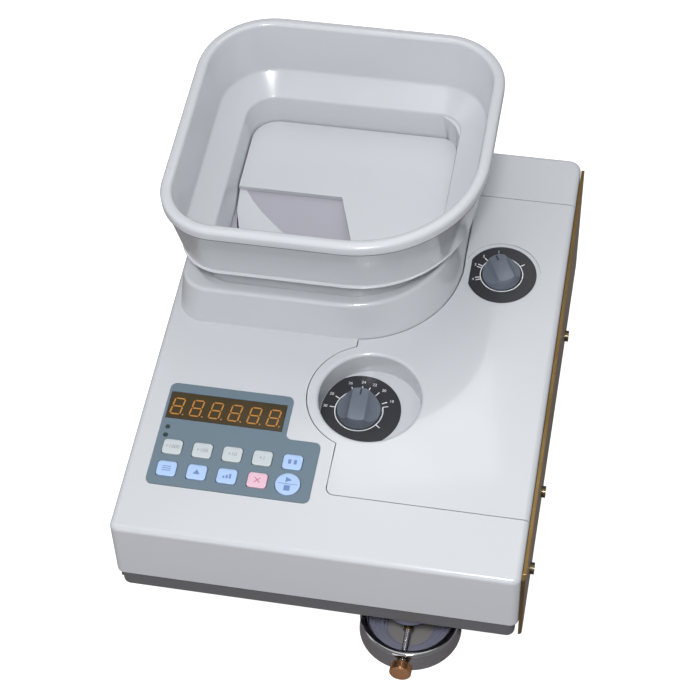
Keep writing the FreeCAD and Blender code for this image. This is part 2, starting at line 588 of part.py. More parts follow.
# Hopper: rim lip, skirt, neck and an inner bowl with a sloped ledge above the floor.
rim_top, lip = size("rim_level"), size("lip_height")
skirt_low, crease, ledge_low = size("skirt_level"), size("crease_level"), size("basin_level")
step = size("lip_step")
lip_ring = loft(rim(0.6, rim_top - lip), rim(0, rim_top - lip * 0.6), rim(0, rim_top - 2), rim(1.6, rim_top))
skirt_foot = basin(size("rim_left") + 9, size("rim_right") - 9, size("rim_front") + 6.5,
                   size("rim_rear") - 10,
                   0, skirt_low, [c - 7 for c in rim_corners])
skirt = loft(skirt_foot, rim(step, rim_top - lip))
neck_ring = prism(neck(0, 0), neck_low, skirt_low)
inner = loft(bowl_floor(0, neck_low - 1), bowl_floor(0, size("floor_level")), bowl_floor(-2, ledge_low))
slope = loft(bowl_floor(-2, ledge_low), rim(size("crease_inset"), crease))
upper = loft(rim(size("crease_inset"), crease), rim(size("lip_width"), rim_top - 2),
             rim(size("lip_width") - 1.2, rim_top + 0.2))
hollow_ring = cut(prism(neck(3, 0), neck_low + 3, skirt_low - 3),
                  prism(bowl_floor(-3, 0), neck_low, skirt_low))
rest = cut(prism(bowl_floor(-1, 0), neck_low, size("floor_level") - size("floor_thick")),
           prism(bowl_floor(4, 0), neck_low - 1, size("floor_level")))
node("hopper", fuse(cut(fuse(lip_ring, skirt, neck_ring), inner, slope, upper, hollow_ring), rest))

# Bowl floor with its cut-out at the front left, through which coins slide down.
floor_top = size("floor_level")
floor_plate = prism(bowl_floor(0.6, 0), floor_top - size("floor_thick"), floor_top)
notch_points = [point(-140, 239), point(-24, 239), point(-12, 204), point(-6, 120), point(-140, 120)]
notch_face = Part.Face(Part.makePolygon(notch_points + notch_points[:1]))
notch = solid(notch_face.extrude(point(0, 0, 20)))
notch.Placement.Base.z = floor_top - 10
node("hopper_floor", cut(floor_plate, notch))

# Track: fixed rail, belt with two rollers, its bracket and its motor.
rail = box(("rail_x", "rail_x + 4"), ("40", "gate_v - 26.2"), ("deck_level", "deck_level + 6"))
stop_at = ("75", "deck_level + 2.4")
node("fixed_rail", cut(rail, rod("1.6", stop_at, ("rail_x - 1", "rail_x + 5"), "x")))
roll_y = [("track_front", "track_level"), ("track_back", "track_level")]
for spot, name in zip(roll_y, ("belt_idler_roller", "belt_drive_roller")):
    roller = fuse(rod("track_radius", spot, ("track_x - 3.4", "track_x + 3.4"), "x"),
                  rod("1.8", spot, ("track_x - 4", "rail_x + 8"), "x"))
    node(name, roller)
track_loop = belt((0, size("track_front")), size("track_radius"), (0, size("track_back")),
                  size("track_radius"), 0, 6)
track_loop.Placement = FreeCAD.Placement(point(size("track_x") - 3, 0, size("track_level")),
                                         FreeCAD.Rotation(point(0, 1, 0), 90))
node("transport_belt", track_loop)
arm = box(("rail_x + 5", "rail_x + 9"), ("track_front - 6", "track_back + 8"),
          ("deck_level", "track_level + 5"))
arm_bores = [rod("1.8 + run_clear", spot, ("rail_x + 4", "rail_x + 10"), "x") for spot in roll_y]
arm_gap = box(("rail_x + 4", "rail_x + 10"), ("66", "84"), ("deck_level - 1", "deck_level + 8"))
node("belt_bracket", cut(arm, *arm_bores, arm_gap))
node("feed_motor", rod("9.5", roll_y[1], ("rail_x + 9", "rail_x + 46"), "x"))

# Coin sensor, stop solenoid and its plunger at the end of the track.
node("coin_sensor", fuse(box(("rail_x + 5", "rail_x + 20"), ("33", "44"), ("deck_level", "deck_level + 14")),
                         box(("rail_x - 14", "rail_x + 6"), ("33", "44"),
                             ("deck_level + 10", "deck_level + 14"))))
coil = box(("rail_x + 12", "rail_x + 34"), ("68", "82"), ("deck_level", "deck_level + 12"))
node("stop_solenoid", cut(coil, rod("1.25 + run_clear", stop_at, ("rail_x + 11", "rail_x + 28"), "x")))
node("stop_plunger", rod("1.25", stop_at, ("rail_x + 0.5", "rail_x + 21"), "x"))

# Outlet under the front: tube, chrome ring with hangers, stepped dish and clamp screw.
outlet = ("outlet_x", tube_y)
tube = cut(fuse(rod("tube_radius + 1.3", outlet, ("foot_height - 8", "%s - 36" % TOP_FRONT)),
                rod("tube_radius + 2", outlet, ("foot_height + 2.5", "foot_height + 5"))),
           rod("tube_radius", outlet, ("foot_height - 9", "%s" % TOP_FRONT)))
node("outlet_tube", tube)
ring_low = "(ring_level - ring_height)"
collar = cut(rod("ring_radius", outlet, (ring_low, "ring_level - 2"), top="ring_radius - 2"),
             rod("ring_radius - 4.5", outlet, ("%s - 1" % ring_low, "ring_level + 1")))
collar = fuse(collar, bead("ring_radius - 3.2", "2.6", *outlet, "ring_level - 2.6"))
collar = cut(collar, rod("ring_radius - 4.5", outlet, ("%s - 1" % ring_low, "ring_level - 4")))
legs = [rod("1.8", ("outlet_x + %s" % dx, "%s + %s" % (tube_y, dy)), ("ring_level - 3", BOTTOM))
        for dx, dy in (("(ring_radius - 3.2) * 0.6", "(ring_radius - 3.2) * 0.8"),
                       ("-(ring_radius - 3.2) * 0.6", "(ring_radius - 3.2) * 0.8"),
                       ("(ring_radius - 3.2) * 0.9986", "(ring_radius - 3.2) * 0.05"),
                       ("-(ring_radius - 3.2) * 0.9986", "(ring_radius - 3.2) * 0.05"))]
screw_hole = rod("screw_radius + run_clear", ("outlet_x", "screw_level"),
                 ("%s - ring_radius - 5" % tube_y, tube_y), "y")
node("outlet_ring", cut(fuse(collar, *legs), screw_hole))
steps = [rod("ring_radius - 4.8 - %d * 2.6" % n, outlet, ("%s + 5 - %d" % (ring_low, n), "%s + 7" % ring_low))
         for n in range(1, 5)]
node("outlet_dish", cut(rod("ring_radius - 4.8", outlet, (ring_low, "%s + 6" % ring_low)), *steps,
                        rod("tube_radius", outlet, ("%s - 1" % ring_low, "ring_level"))))
screw = fuse(rod("screw_radius", ("outlet_x", "screw_level"),
                 ("%s - ring_radius - 3" % tube_y, "%s - 2" % tube_y), "y"),
             rod("3.2", ("outlet_x", "screw_level"), ("%s - 2.5" % tube_y, "%s + 1" % tube_y), "y"),
             rod("3.4", ("outlet_x", "screw_level"),
                 ("%s - ring_radius - 3.6" % tube_y, "%s - ring_radius - 0.5" % tube_y), "y"),
             rod("6.6", ("outlet_x", "screw_level"),
                 ("%s - ring_radius - 9" % tube_y, "%s - ring_radius - 3" % tube_y), "y"))
node("clamp_screw", screw)

# Control board under the key panel with display module and key domes, lamps and window.
board = fuse(box(("panel_left - 2", "panel_right + 1"), ("panel_front - 2", "panel_notch - 2"),
                 ("board_level - 1.6", "board_level")),
             box(("panel_left - 2", "panel_step + 1"), ("panel_front - 2", "panel_back + 1"),
                 ("board_level - 1.6", "board_level")))
module = box(("show_left + 1.5", "show_right - 1.5"), ("show_front + 1", "show_back - 1"),
             ("board_level - 0.5", "-1.8"))
node("control_board", fuse(board, module))
overlay = solid(panel_face(0).extrude(point(0, 0, size("overlay_thick"))))
overlay.Placement.Base.z = -size("recess_panel")
overlay = cut(overlay, show_hole, *lamp_holes, *key_holes)
node("panel_overlay", overlay)
node("display_window", box(("show_left + 0.3", "show_right - 0.3"), ("show_front + 0.3", "show_back - 0.3"),
                           ("-1.5", "0.15")))
node("mode_lamps", group(*[rod("lamp_radius", spot, ("board_level", "0.5")) for spot in lamp_spots]))
KEY_NODES = []
for name, column, row_v in KEYS:
    cap = key_block(column, row_v, "0", "board_level + 1", "key_rise")
    foot = key_block(column, row_v, "0.8", "-wall_thick - 1.4", "-wall_thick - 0.2")
    KEY_NODES.append(node(name, fuse(cap, foot)))

# Main board and transformer on the pan.
node("main_board", fuse(box(("%s + 32" % LEFT, "%s + 102" % LEFT), ("-112", "-34"),
                            ("foot_height + 8", "foot_height + 9.6")),
                        *[rod("3", (x, y), ("foot_height + 2.5", "foot_height + 8.5"))
                          for x in ("%s + 36" % LEFT, "%s + 98" % LEFT) for y in ("-108", "-38")],
                        *[box((x, "%s + 14" % x), (y, "%s + 12" % y), ("foot_height + 9", "foot_height + 14"))
                          for x in ["%s + %d" % (LEFT, n) for n in (40, 62, 80)] for y in ("-100", "-70")]))
node("transformer", fuse(box(("%s + 28" % LEFT, "%s + 76" % LEFT), ("-20", "34"),
                             ("foot_height + 2.5", "foot_height + 22")),
                         box(("%s + 34" % LEFT, "%s + 70" % LEFT), ("-28", "42"),
                             ("foot_height + 5", "foot_height + 19"))))

# Lid: plate with rolled hinge edge, well for the size dial and recess for the gate dial.
plate_l = solid(lid_outline(size("seam_gap")).extrude(point(0, 0, -size("lid_thick"))))
plate_l = cut(plate_l, box(("body_width / 2 - hinge_radius", "body_width"), ("0", "body_depth"),
                           ("-20", "5")))
roll = rod("hinge_radius", hinge_at, ("lid_front + seam_gap", "lid_rear - seam_gap"), "y")
well_at, size_at, gate_at = ("well_x", "well_v"), ("size_x", "size_v"), ("gate_x", "gate_v")
cup = rod("well_radius + 2.5", well_at, ("-well_depth - 2.5", "-lid_thick / 2"))
tray_l = common(rod("recess_radius + 2", gate_at, ("-recess_depth - lid_thick", "-lid_thick / 2")),
                solid(lid_outline(size("seam_gap")).extrude(point(0, 0, -20))))
lid = fuse(plate_l, roll, cup, tray_l)
lid = cut(lid, rod("well_radius", well_at, ("-well_depth", "2")))
lid = rounded(lid, 2.0, lambda m, e: abs(m.z) < 0.01 and e.Length < 0.01
              and abs(math.hypot(m.x - size("well_x"), m.y - size("well_v")) - size("well_radius")) < 0.1)
lid = cut(lid,
          rod("recess_radius", gate_at, ("-recess_depth", "2")),
          rod("size_skirt + knob_gap", size_at, ("-well_depth - 5", "-2")),
          rod("gate_skirt + knob_gap", gate_at, ("-recess_depth - 6", "2")),
          rod("pin_radius + run_clear", hinge_at, ("0", "body_depth"), "y"))
node("lid", lid)
node("lid_hinge_pin", rod("pin_radius", hinge_at, ("lid_front - 6.5", "lid_rear + 6.5"), "y"))
size_ring = cut(common(rod("size_label", size_at, ("-well_depth", "-well_depth + label_thick")),
                       rod("well_radius - 0.3", well_at, ("-well_depth", "-well_depth + label_thick"))),
                rod("size_skirt + knob_gap", size_at, ("-well_depth - 1", "2")))
node("size_dial", size_ring)
gate_ring = cut(rod("gate_label", gate_at, ("-recess_depth", "-recess_depth + label_thick")),
                rod("gate_skirt + knob_gap", gate_at, ("-recess_depth - 1", "2")),
                box(("gate_x - 30", "gate_x - gate_flat"), ("gate_v - 30", "gate_v + 30"), ("-4", "2")))
node("gate_dial", gate_ring)


def knob(spot, skirt, level, turn):
    """A low round cap with a hollow scooped out on each side, which leaves a grip turned to its mark."""
    scoops = [rod("knob_scoop", ("%s(knob_scoop + 3.5)" % side, "knob_scoop + 1.2"), ("-20", "20"), "y")
              for side in ("", "-")]
    cap = cut(rod(skirt, ("0", "0"), ("0", "knob_height"), top="%s - knob_draft" % skirt), *scoops)
    cap.Placement.Rotation = FreeCAD.Rotation(point(0, 0, 1), turn)
    place(cap, spot[0], spot[1], level)
    stem = rod("shaft_radius", spot, (UNDER, "%s + 1" % level))
    return fuse(cap, stem)


# Size knob with a pinion that drives the adjustable guide through a rack.
teeth = 12
pinion_r = teeth * size("rack_pitch") / (2 * math.pi)
module_mm = size("rack_pitch") / math.pi
half = 0.17 * size("rack_pitch")
PINION_LOW, PINION_HIGH = "deck_level + 0.6", "deck_level + 6.2"
gear = [rod("%.4f" % (pinion_r - module_mm), size_at, (PINION_LOW, PINION_HIGH))]
for n in range(teeth):
    corners = [point(pinion_r - 1.3 * module_mm, -half * 1.4), point(pinion_r + 0.7 * module_mm, -half * 0.6),
               point(pinion_r + 0.7 * module_mm, half * 0.6), point(pinion_r - 1.3 * module_mm, half * 1.4)]
    tooth = solid(Part.Face(Part.makePolygon(corners + corners[:1])).extrude(point(0, 0, 5.6)))
    tooth.Placement.Rotation = FreeCAD.Rotation(point(0, 0, 1), 90.0 + 360.0 * n / teeth)
    place(tooth, "size_x", "size_v", PINION_LOW)
    gear.append(tooth)
node("size_knob", fuse(knob(size_at, "size_skirt", "(-well_depth + label_thick)", 0), *gear))

# Adjustable guide: left wall of the track with a toothed arm over the pinion.
line_v = size("size_v") + pinion_r
arm_low = "(deck_level + 0.5)"
bar_g = box(("guide_x - 6", "guide_x"), ("60", "150"), (arm_low, "deck_level + 6.5"))
arm_g = box(("size_x - 24", "guide_x - 5"),
            ("%.4f" % (line_v + module_mm), "%.4f" % (line_v + module_mm + 5)),
            (arm_low, "deck_level + 6.5"))
rack = []
for n in range(-9, 10):
    x = size("size_x") + (n + 0.5) * size("rack_pitch")
    low, high = line_v - 0.7 * module_mm, line_v + 1.1 * module_mm
    corners = [point(x - half * 0.6, low), point(x + half * 0.6, low),
               point(x + half * 1.4, high), point(x - half * 1.4, high)]
    tooth = solid(Part.Face(Part.makePolygon(corners + corners[:1])).extrude(point(0, 0, 6)))
    bind(tooth, "Placement.Base.z", arm_low)
    rack.append(tooth)
node("adjustable_guide", fuse(bar_g, arm_g, *rack))

# Gate knob, and the thickness gate that its thread raises over the track.
node("gate_knob", knob(gate_at, "gate_skirt", "(-recess_depth + label_thick)", 25))
gate = fuse(box(("40", "gate_x + 9"), ("gate_v - 19", "gate_v - 10"),
                ("deck_level + 2.8", "deck_level + 15")),
            box(("gate_x - 7", "gate_x + 7"), ("gate_v - 12", "gate_v + 6"),
                ("deck_level + 7", "deck_level + 15")))
node("thickness_gate", cut(gate, rod("shaft_radius + run_clear", gate_at, ("deck_level", "deck_level + 20"))))

# Pieces that ride on the sloped deck are carried into the world frame here, and all of them
# are set so that the origin is on the floor under the middle of the whole machine.
WORLD = {"base_pan", "rubber_feet", "main_cover", "side_plate_right", "side_plate_left",
         "case_screws", "rear_plate", "power_inlet", "power_switch", "fuse_cap", "coin_deck",
         "deck_posts", "outlet_tube", "outlet_ring", "outlet_dish", "clamp_screw", "main_board",
         "transformer"}
for piece in NODES:
    if piece.Label not in WORLD:
        piece.Placement.Rotation = FreeCAD.Rotation(point(1, 0, 0), size("deck_slope"))
        bind(piece, "Placement.Rotation.Angle", "deck_slope * 1 deg")
        place(piece, "0", "-body_depth / 2 + frame_shift", "foot_height + front_height")
    elif piece.Placement.isIdentity():
        place(piece, "0", "frame_shift", "0")
    else:
        raise RuntimeError(piece.Label + " already has a place of its own")

doc.recompute()
faults = [thing.Name + " " + thing.TypeId for thing in doc.Objects
          if "Invalid" in thing.State or "Error" in thing.State]
faults += [piece.Label + " shape" for piece in NODES if piece.Shape.isNull() or not piece.Shape.isValid()]
if faults:
    raise RuntimeError("faulty objects: " + ", ".join(faults))
for piece in NODES:
    piece.Shape.exportStep("parts/%s.step" % piece.Label)
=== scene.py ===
import json
import math

import bpy
from mathutils import Matrix, Vector


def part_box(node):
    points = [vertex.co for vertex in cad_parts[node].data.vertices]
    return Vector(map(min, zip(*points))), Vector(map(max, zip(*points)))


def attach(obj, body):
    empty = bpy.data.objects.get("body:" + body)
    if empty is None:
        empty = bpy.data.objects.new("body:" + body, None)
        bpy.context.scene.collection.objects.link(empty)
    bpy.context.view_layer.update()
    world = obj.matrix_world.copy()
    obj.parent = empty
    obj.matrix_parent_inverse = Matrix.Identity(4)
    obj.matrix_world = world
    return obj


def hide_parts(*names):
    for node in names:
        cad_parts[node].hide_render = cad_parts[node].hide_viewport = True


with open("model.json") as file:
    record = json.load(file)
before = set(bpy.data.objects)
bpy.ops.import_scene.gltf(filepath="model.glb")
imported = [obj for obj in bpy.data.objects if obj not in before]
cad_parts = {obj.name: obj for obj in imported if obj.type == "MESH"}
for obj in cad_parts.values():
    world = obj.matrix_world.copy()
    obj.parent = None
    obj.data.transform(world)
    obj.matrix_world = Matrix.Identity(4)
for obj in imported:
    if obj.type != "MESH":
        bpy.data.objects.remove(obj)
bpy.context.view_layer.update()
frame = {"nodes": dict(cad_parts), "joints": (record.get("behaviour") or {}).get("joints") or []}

# Camera, floor and light: the machine stands on a grey table that the camera sees as plain white,
# as in a cut-out picture, except through the outlet; a flash, softboxes and a window light it.
look_at = Vector((-0.0047, -0.0020, 0.1012))
azimuth, elevation, roll = math.radians(11.83), math.radians(48.07), math.radians(-1.95)
distance, lens_mm = 1.2084, 100.77
turned = (Matrix.Rotation(azimuth, 4, "Z") @ Matrix.Rotation(math.pi / 2 - elevation, 4, "X")
          @ Matrix.Rotation(roll, 4, "Z"))
bpy.ops.object.select_all(action="DESELECT")
bpy.ops.object.camera_add()
camera = bpy.context.object
camera.data.lens = lens_mm
camera.data.sensor_width = 36.0
camera.matrix_world = Matrix.Translation(look_at + turned.col[2].to_3d() * distance) @ turned
bpy.context.scene.camera = camera


def join(tree, *pairs):
    """Link pairs of node sockets."""
    for start, end in pairs:
        tree.links.new(start, end)


outlet_view_radius = 0.02
bpy.ops.mesh.primitive_plane_add(size=6.0, location=(0, 0, 0))
table = bpy.context.object
table.name = "table"
table_top = bpy.data.materials.new("table_top")
table_top.use_nodes = True
board = table_top.node_tree
shader = board.nodes["Principled BSDF"]
shader.inputs["Base Color"].default_value = (0.29, 0.275, 0.275, 1)
shader.inputs["Roughness"].default_value = 0.6
path = board.nodes.new("ShaderNodeLightPath")
ground = board.nodes.new("ShaderNodeTexCoord")
away = board.nodes.new("ShaderNodeVectorMath")
away.operation = "DISTANCE"
dish_low, dish_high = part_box("outlet_dish")
dish_x, dish_y = (dish_low.x + dish_high.x) / 2, (dish_low.y + dish_high.y) / 2
away.inputs[1].default_value = (dish_x, dish_y, 0)
outside = board.nodes.new("ShaderNodeMath")
outside.operation = "GREATER_THAN"
outside.inputs[1].default_value = outlet_view_radius
seen = board.nodes.new("ShaderNodeMath")
seen.operation = "MULTIPLY"
join(board, (ground.outputs["Object"], away.inputs[0]), (away.outputs["Value"], outside.inputs[0]),
     (outside.outputs[0], seen.inputs[0]), (path.outputs["Is Camera Ray"], seen.inputs[1]),
     (seen.outputs[0], shader.inputs["Emission Color"]))
shader.inputs["Emission Strength"].default_value = 1.0
table.data.materials.append(table_top)

flash_at = camera.matrix_world @ Vector((-0.03, 0.07, -0.05))
for name, place, aim, width, power, tint in (
        ("camera_flash", flash_at, (0, 0, 0.12), 0.14, 7.2, (1.0, 0.99, 1.0)),
        ("ceiling_softbox", (0.05, 0.0, 2.0), (0, 0.05, 0.1), 1.8, 12, (0.98, 0.995, 1.0)),
        ("front_fill", (-0.2, -1.5, 0.40), (0, 0.05, 0.16), 0.7, 2.6, (0.99, 0.98, 1.0)),
        ("far_window", (-0.11, 0.62, 1.40), (0.05, -0.06, 0.1), 0.22, 0.5, (0.97, 1.0, 0.99)),
        ("left_softbox", (-1.5, -0.2, 1.0), (0, 0, 0.12), 1.0, 3, (0.97, 0.98, 1.0))):
    bpy.ops.object.light_add(type="AREA", location=place)
    lamp = bpy.context.object
    lamp.name = name
    lamp.data.size = width
    lamp.data.energy = power
    lamp.data.color = tint
    lamp.rotation_euler = (Vector(aim) - Vector(place)).to_track_quat("-Z", "Y").to_euler()
sky = bpy.data.worlds.new("studio")
bpy.context.scene.world = sky
sky.use_nodes = True
backdrop = sky.node_tree.nodes["Background"]
backdrop.inputs["Color"].default_value = (0.95, 0.97, 1.0, 1)
glance = sky.node_tree.nodes.new("ShaderNodeLightPath")
brightness = sky.node_tree.nodes.new("ShaderNodeMapRange")
light_given, white_seen = 0.36, 1.1
brightness.inputs["To Min"].default_value = light_given
brightness.inputs["To Max"].default_value = white_seen
join(sky.node_tree, (glance.outputs["Is Camera Ray"], brightness.inputs["Value"]),
     (brightness.outputs["Result"], backdrop.inputs["Strength"]))
bpy.context.scene.view_settings.view_transform = "Standard"

# Moulded shell: the cover with its pedestal and the access lid are injection moulded in pale
# grey gloss plastic, with a faint flow mottle and the fine peel of a moulded surface.


def shader_group(name, inputs, outputs):
    """An empty node group with its sockets, its two end nodes and its tree."""
    tree = bpy.data.node_groups.new(name, "ShaderNodeTree")
    for label, kind, value in inputs:
        socket = tree.interface.new_socket(label, in_out="INPUT", socket_type=kind)
        socket.default_value = value
    for label, kind in outputs:
        tree.interface.new_socket(label, in_out="OUTPUT", socket_type=kind)
    return tree, tree.nodes.new("NodeGroupInput"), tree.nodes.new("NodeGroupOutput")


moulded_skin, given, result = shader_group(
    "moulded_skin",
    [("Colour", "NodeSocketColor", (0.8, 0.8, 0.8, 1)), ("Mottle", "NodeSocketFloat", 0.04),
     ("Peel Scale", "NodeSocketFloat", 700.0), ("Gloss", "NodeSocketFloat", 0.25)],
    [("Colour", "NodeSocketColor"), ("Roughness", "NodeSocketFloat"), ("Height", "NodeSocketFloat")])
spot = moulded_skin.nodes.new("ShaderNodeTexCoord")
flow = moulded_skin.nodes.new("ShaderNodeTexNoise")
flow.inputs["Scale"].default_value = 14.0
flow.inputs["Detail"].default_value = 3.0
peel = moulded_skin.nodes.new("ShaderNodeTexNoise")
peel.inputs["Detail"].default_value = 1.0
smear = moulded_skin.nodes.new("ShaderNodeTexNoise")
smear.inputs["Scale"].default_value = 45.0
smear.inputs["Detail"].default_value = 2.0
centred = moulded_skin.nodes.new("ShaderNodeMath")
centred.operation = "SUBTRACT"
centred.inputs[1].default_value = 0.5
amount = moulded_skin.nodes.new("ShaderNodeMath")
amount.operation = "MULTIPLY_ADD"
amount.inputs[2].default_value = 1.0
tone = moulded_skin.nodes.new("ShaderNodeHueSaturation")
rub = moulded_skin.nodes.new("ShaderNodeMapRange")
rub.inputs["From Min"].default_value = 0.2
rub.inputs["From Max"].default_value = 0.8
rub.inputs["To Min"].default_value = 0.0
rub.inputs["To Max"].default_value = 0.06
gloss = moulded_skin.nodes.new("ShaderNodeMath")
gloss.operation = "ADD"
join(moulded_skin,
     (spot.outputs["Object"], flow.inputs["Vector"]), (spot.outputs["Object"], peel.inputs["Vector"]),
     (spot.outputs["Object"], smear.inputs["Vector"]), (given.outputs["Peel Scale"], peel.inputs["Scale"]),
     (flow.outputs["Fac"], centred.inputs[0]), (centred.outputs[0], amount.inputs[0]),
     (given.outputs["Mottle"], amount.inputs[1]), (amount.outputs[0], tone.inputs["Value"]),
     (given.outputs["Colour"], tone.inputs["Color"]), (tone.outputs["Color"], result.inputs["Colour"]),
     (smear.outputs["Fac"], rub.inputs["Value"]), (rub.outputs["Result"], gloss.inputs[0]),
     (given.outputs["Gloss"], gloss.inputs[1]), (gloss.outputs[0], result.inputs["Roughness"]),
     (peel.outputs["Fac"], result.inputs["Height"]))


def finish_with(name, group, values, bump, **sockets):
    """A material whose colour, roughness and relief come from one shared group."""
    relief_depth = 0.0002
    material = bpy.data.materials.new(name)
    material.use_nodes = True
    tree = material.node_tree
    skin = tree.nodes.new("ShaderNodeGroup")
    skin.node_tree = group
    for label, value in values.items():
        skin.inputs[label].default_value = value
    relief = tree.nodes.new("ShaderNodeBump")
    relief.inputs["Strength"].default_value = bump
    relief.inputs["Distance"].default_value = relief_depth
    surface = tree.nodes["Principled BSDF"]
    join(tree, (skin.outputs["Colour"], surface.inputs["Base Color"]),
         (skin.outputs["Roughness"], surface.inputs["Roughness"]),
         (skin.outputs["Height"], relief.inputs["Height"]),
         (relief.outputs["Normal"], surface.inputs["Normal"]))
    for label, value in sockets.items():
        surface.inputs[label.replace("_", " ")].default_value = value
    return material


def plastic(name, colour, mottle, peel, gloss, bump=0.02, **sockets):
    """A moulded or printed finish: how uneven its colour is, how fine its peel, and how rough."""
    values = {"Colour": (*colour, 1), "Mottle": mottle, "Peel Scale": peel, "Gloss": gloss}
    return finish_with(name, moulded_skin, values, bump, **sockets)


def dress(material, *nodes):
    """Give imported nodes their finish."""
    for node in nodes:
        slots = frame["nodes"][node].data.materials
        slots.clear()
        slots.append(material)


shell_plastic = plastic("shell_plastic", (0.56, 0.58, 0.605),
                        mottle=0.05, peel=900, gloss=0.2, bump=0.012, Coat_Weight=0.35, Coat_Roughness=0.05)
dress(shell_plastic, "main_cover", "lid")

# Base pan and feet: a dark grey painted steel tray under the shell, on four tall feet of moulded
# rubber; the two belts inside are of the same rubber.
pan_paint = plastic("pan_paint", (0.115, 0.115, 0.125), mottle=0.12, peel=1500, gloss=0.38, bump=0.12)
dress(pan_paint, "base_pan")
foot_rubber = plastic("foot_rubber", (0.018, 0.018, 0.019), mottle=0.3, peel=1200, gloss=0.62, bump=0.25)
dress(foot_rubber, "rubber_feet", "drive_belt", "transport_belt")

# Side plates: sheet steel with a yellow passivated finish, streaked where it was drawn and
# dipped, held by pan-head screws near the foot; the right one has a folded front edge.
drawn_metal, given, result = shader_group(
    "drawn_metal",
    [("Colour", "NodeSocketColor", (0.6, 0.6, 0.6, 1)),
     ("Second Colour", "NodeSocketColor", (0.5, 0.5, 0.5, 1)),
     ("Stretch", "NodeSocketVector", (1.0, 1.0, 1.0)), ("Streak", "NodeSocketFloat", 0.4),
     ("Gloss", "NodeSocketFloat", 0.3)],
    [("Colour", "NodeSocketColor"), ("Roughness", "NodeSocketFloat"), ("Height", "NodeSocketFloat")])
spot = drawn_metal.nodes.new("ShaderNodeTexCoord")
pull = drawn_metal.nodes.new("ShaderNodeVectorMath")
pull.operation = "MULTIPLY"
lines = drawn_metal.nodes.new("ShaderNodeTexNoise")
lines.inputs["Scale"].default_value = 1.0
lines.inputs["Detail"].default_value = 4.0
cloud = drawn_metal.nodes.new("ShaderNodeTexNoise")
cloud.inputs["Scale"].default_value = 22.0
cloud.inputs["Detail"].default_value = 5.0
shift = drawn_metal.nodes.new("ShaderNodeMapRange")
shift.inputs["From Min"].default_value = 0.35
shift.inputs["From Max"].default_value = 0.65
blend = drawn_metal.nodes.new("ShaderNodeMix")
blend.data_type = "RGBA"
spread = drawn_metal.nodes.new("ShaderNodeMath")
spread.operation = "MULTIPLY"
gloss = drawn_metal.nodes.new("ShaderNodeMath")
gloss.operation = "ADD"
join(drawn_metal,
     (spot.outputs["Object"], pull.inputs[0]), (given.outputs["Stretch"], pull.inputs[1]),
     (pull.outputs["Vector"], lines.inputs["Vector"]), (spot.outputs["Object"], cloud.inputs["Vector"]),
     (cloud.outputs["Fac"], shift.inputs["Value"]), (shift.outputs["Result"], blend.inputs["Factor"]),
     (given.outputs["Colour"], blend.inputs["A"]), (given.outputs["Second Colour"], blend.inputs["B"]),
     (blend.outputs["Result"], result.inputs["Colour"]),
     (lines.outputs["Fac"], spread.inputs[0]), (given.outputs["Streak"], spread.inputs[1]),
     (spread.outputs[0], gloss.inputs[0]), (given.outputs["Gloss"], gloss.inputs[1]),
     (gloss.outputs[0], result.inputs["Roughness"]), (lines.outputs["Fac"], result.inputs["Height"]))


def metal(name, colour, second, stretch, streak, gloss, bump, metallic=1.0):
    """A drawn or turned finish: two tones, the way its lines run, and how rough they make it."""
    values = {"Colour": (*colour, 1), "Second Colour": (*second, 1), "Stretch": stretch, "Streak": streak,
              "Gloss": gloss}
    return finish_with(name, drawn_metal, values, bump, Metallic=metallic)


plate_gold = metal("plate_gold", (0.17, 0.105, 0.036), (0.25, 0.16, 0.06),
                   stretch=(900, 900, 30), streak=0.25, gloss=0.22, bump=0.1)
dress(plate_gold, "side_plate_right", "side_plate_left")
screw_bronze = metal("screw_bronze", (0.13, 0.105, 0.065), (0.20, 0.16, 0.095),
                     stretch=(300, 300, 300), streak=0.2, gloss=0.18, bump=0.1)
dress(screw_bronze, "case_screws")


def alone():
    """Leave edit mode and deselect everything, so an operator acts on one piece only."""
    if bpy.context.object and bpy.context.object.mode != "OBJECT":
        bpy.ops.object.mode_set(mode="OBJECT")
    bpy.ops.object.select_all(action="DESELECT")


def pick(piece, kind, wanted):
    """Select the vertices, edges or polygons that pass a test, and stay in edit mode."""
    bpy.ops.object.mode_set(mode="EDIT")
    bpy.ops.mesh.select_mode(type={"vertices": "VERT", "edges": "EDGE", "polygons": "FACE"}[kind])
    bpy.ops.mesh.select_all(action="DESELECT")
    bpy.ops.object.mode_set(mode="OBJECT")
    for item in getattr(piece.data, kind):
        item.select = bool(wanted(item))
    bpy.ops.object.mode_set(mode="EDIT")


def settle(piece, place=Matrix.Identity(4)):
    """Put a piece in its place and move that place into its mesh."""
    alone()
    bpy.context.view_layer.update()
    piece.matrix_world = place @ piece.matrix_world
    piece.select_set(True)
    bpy.context.view_layer.objects.active = piece
    bpy.ops.object.transform_apply(location=True, rotation=True, scale=True)
    return piece


def edge_ends(piece, edge):
    """The two end points of an edge."""
    return [piece.data.vertices[index].co for index in edge.vertices]


def smooth(piece, degrees=35.0):
    """Shade a piece smooth, apart from edges sharper than an angle."""
    alone()
    piece.select_set(True)
    bpy.context.view_layer.objects.active = piece
    bpy.ops.object.shade_smooth_by_angle(angle=math.radians(degrees))


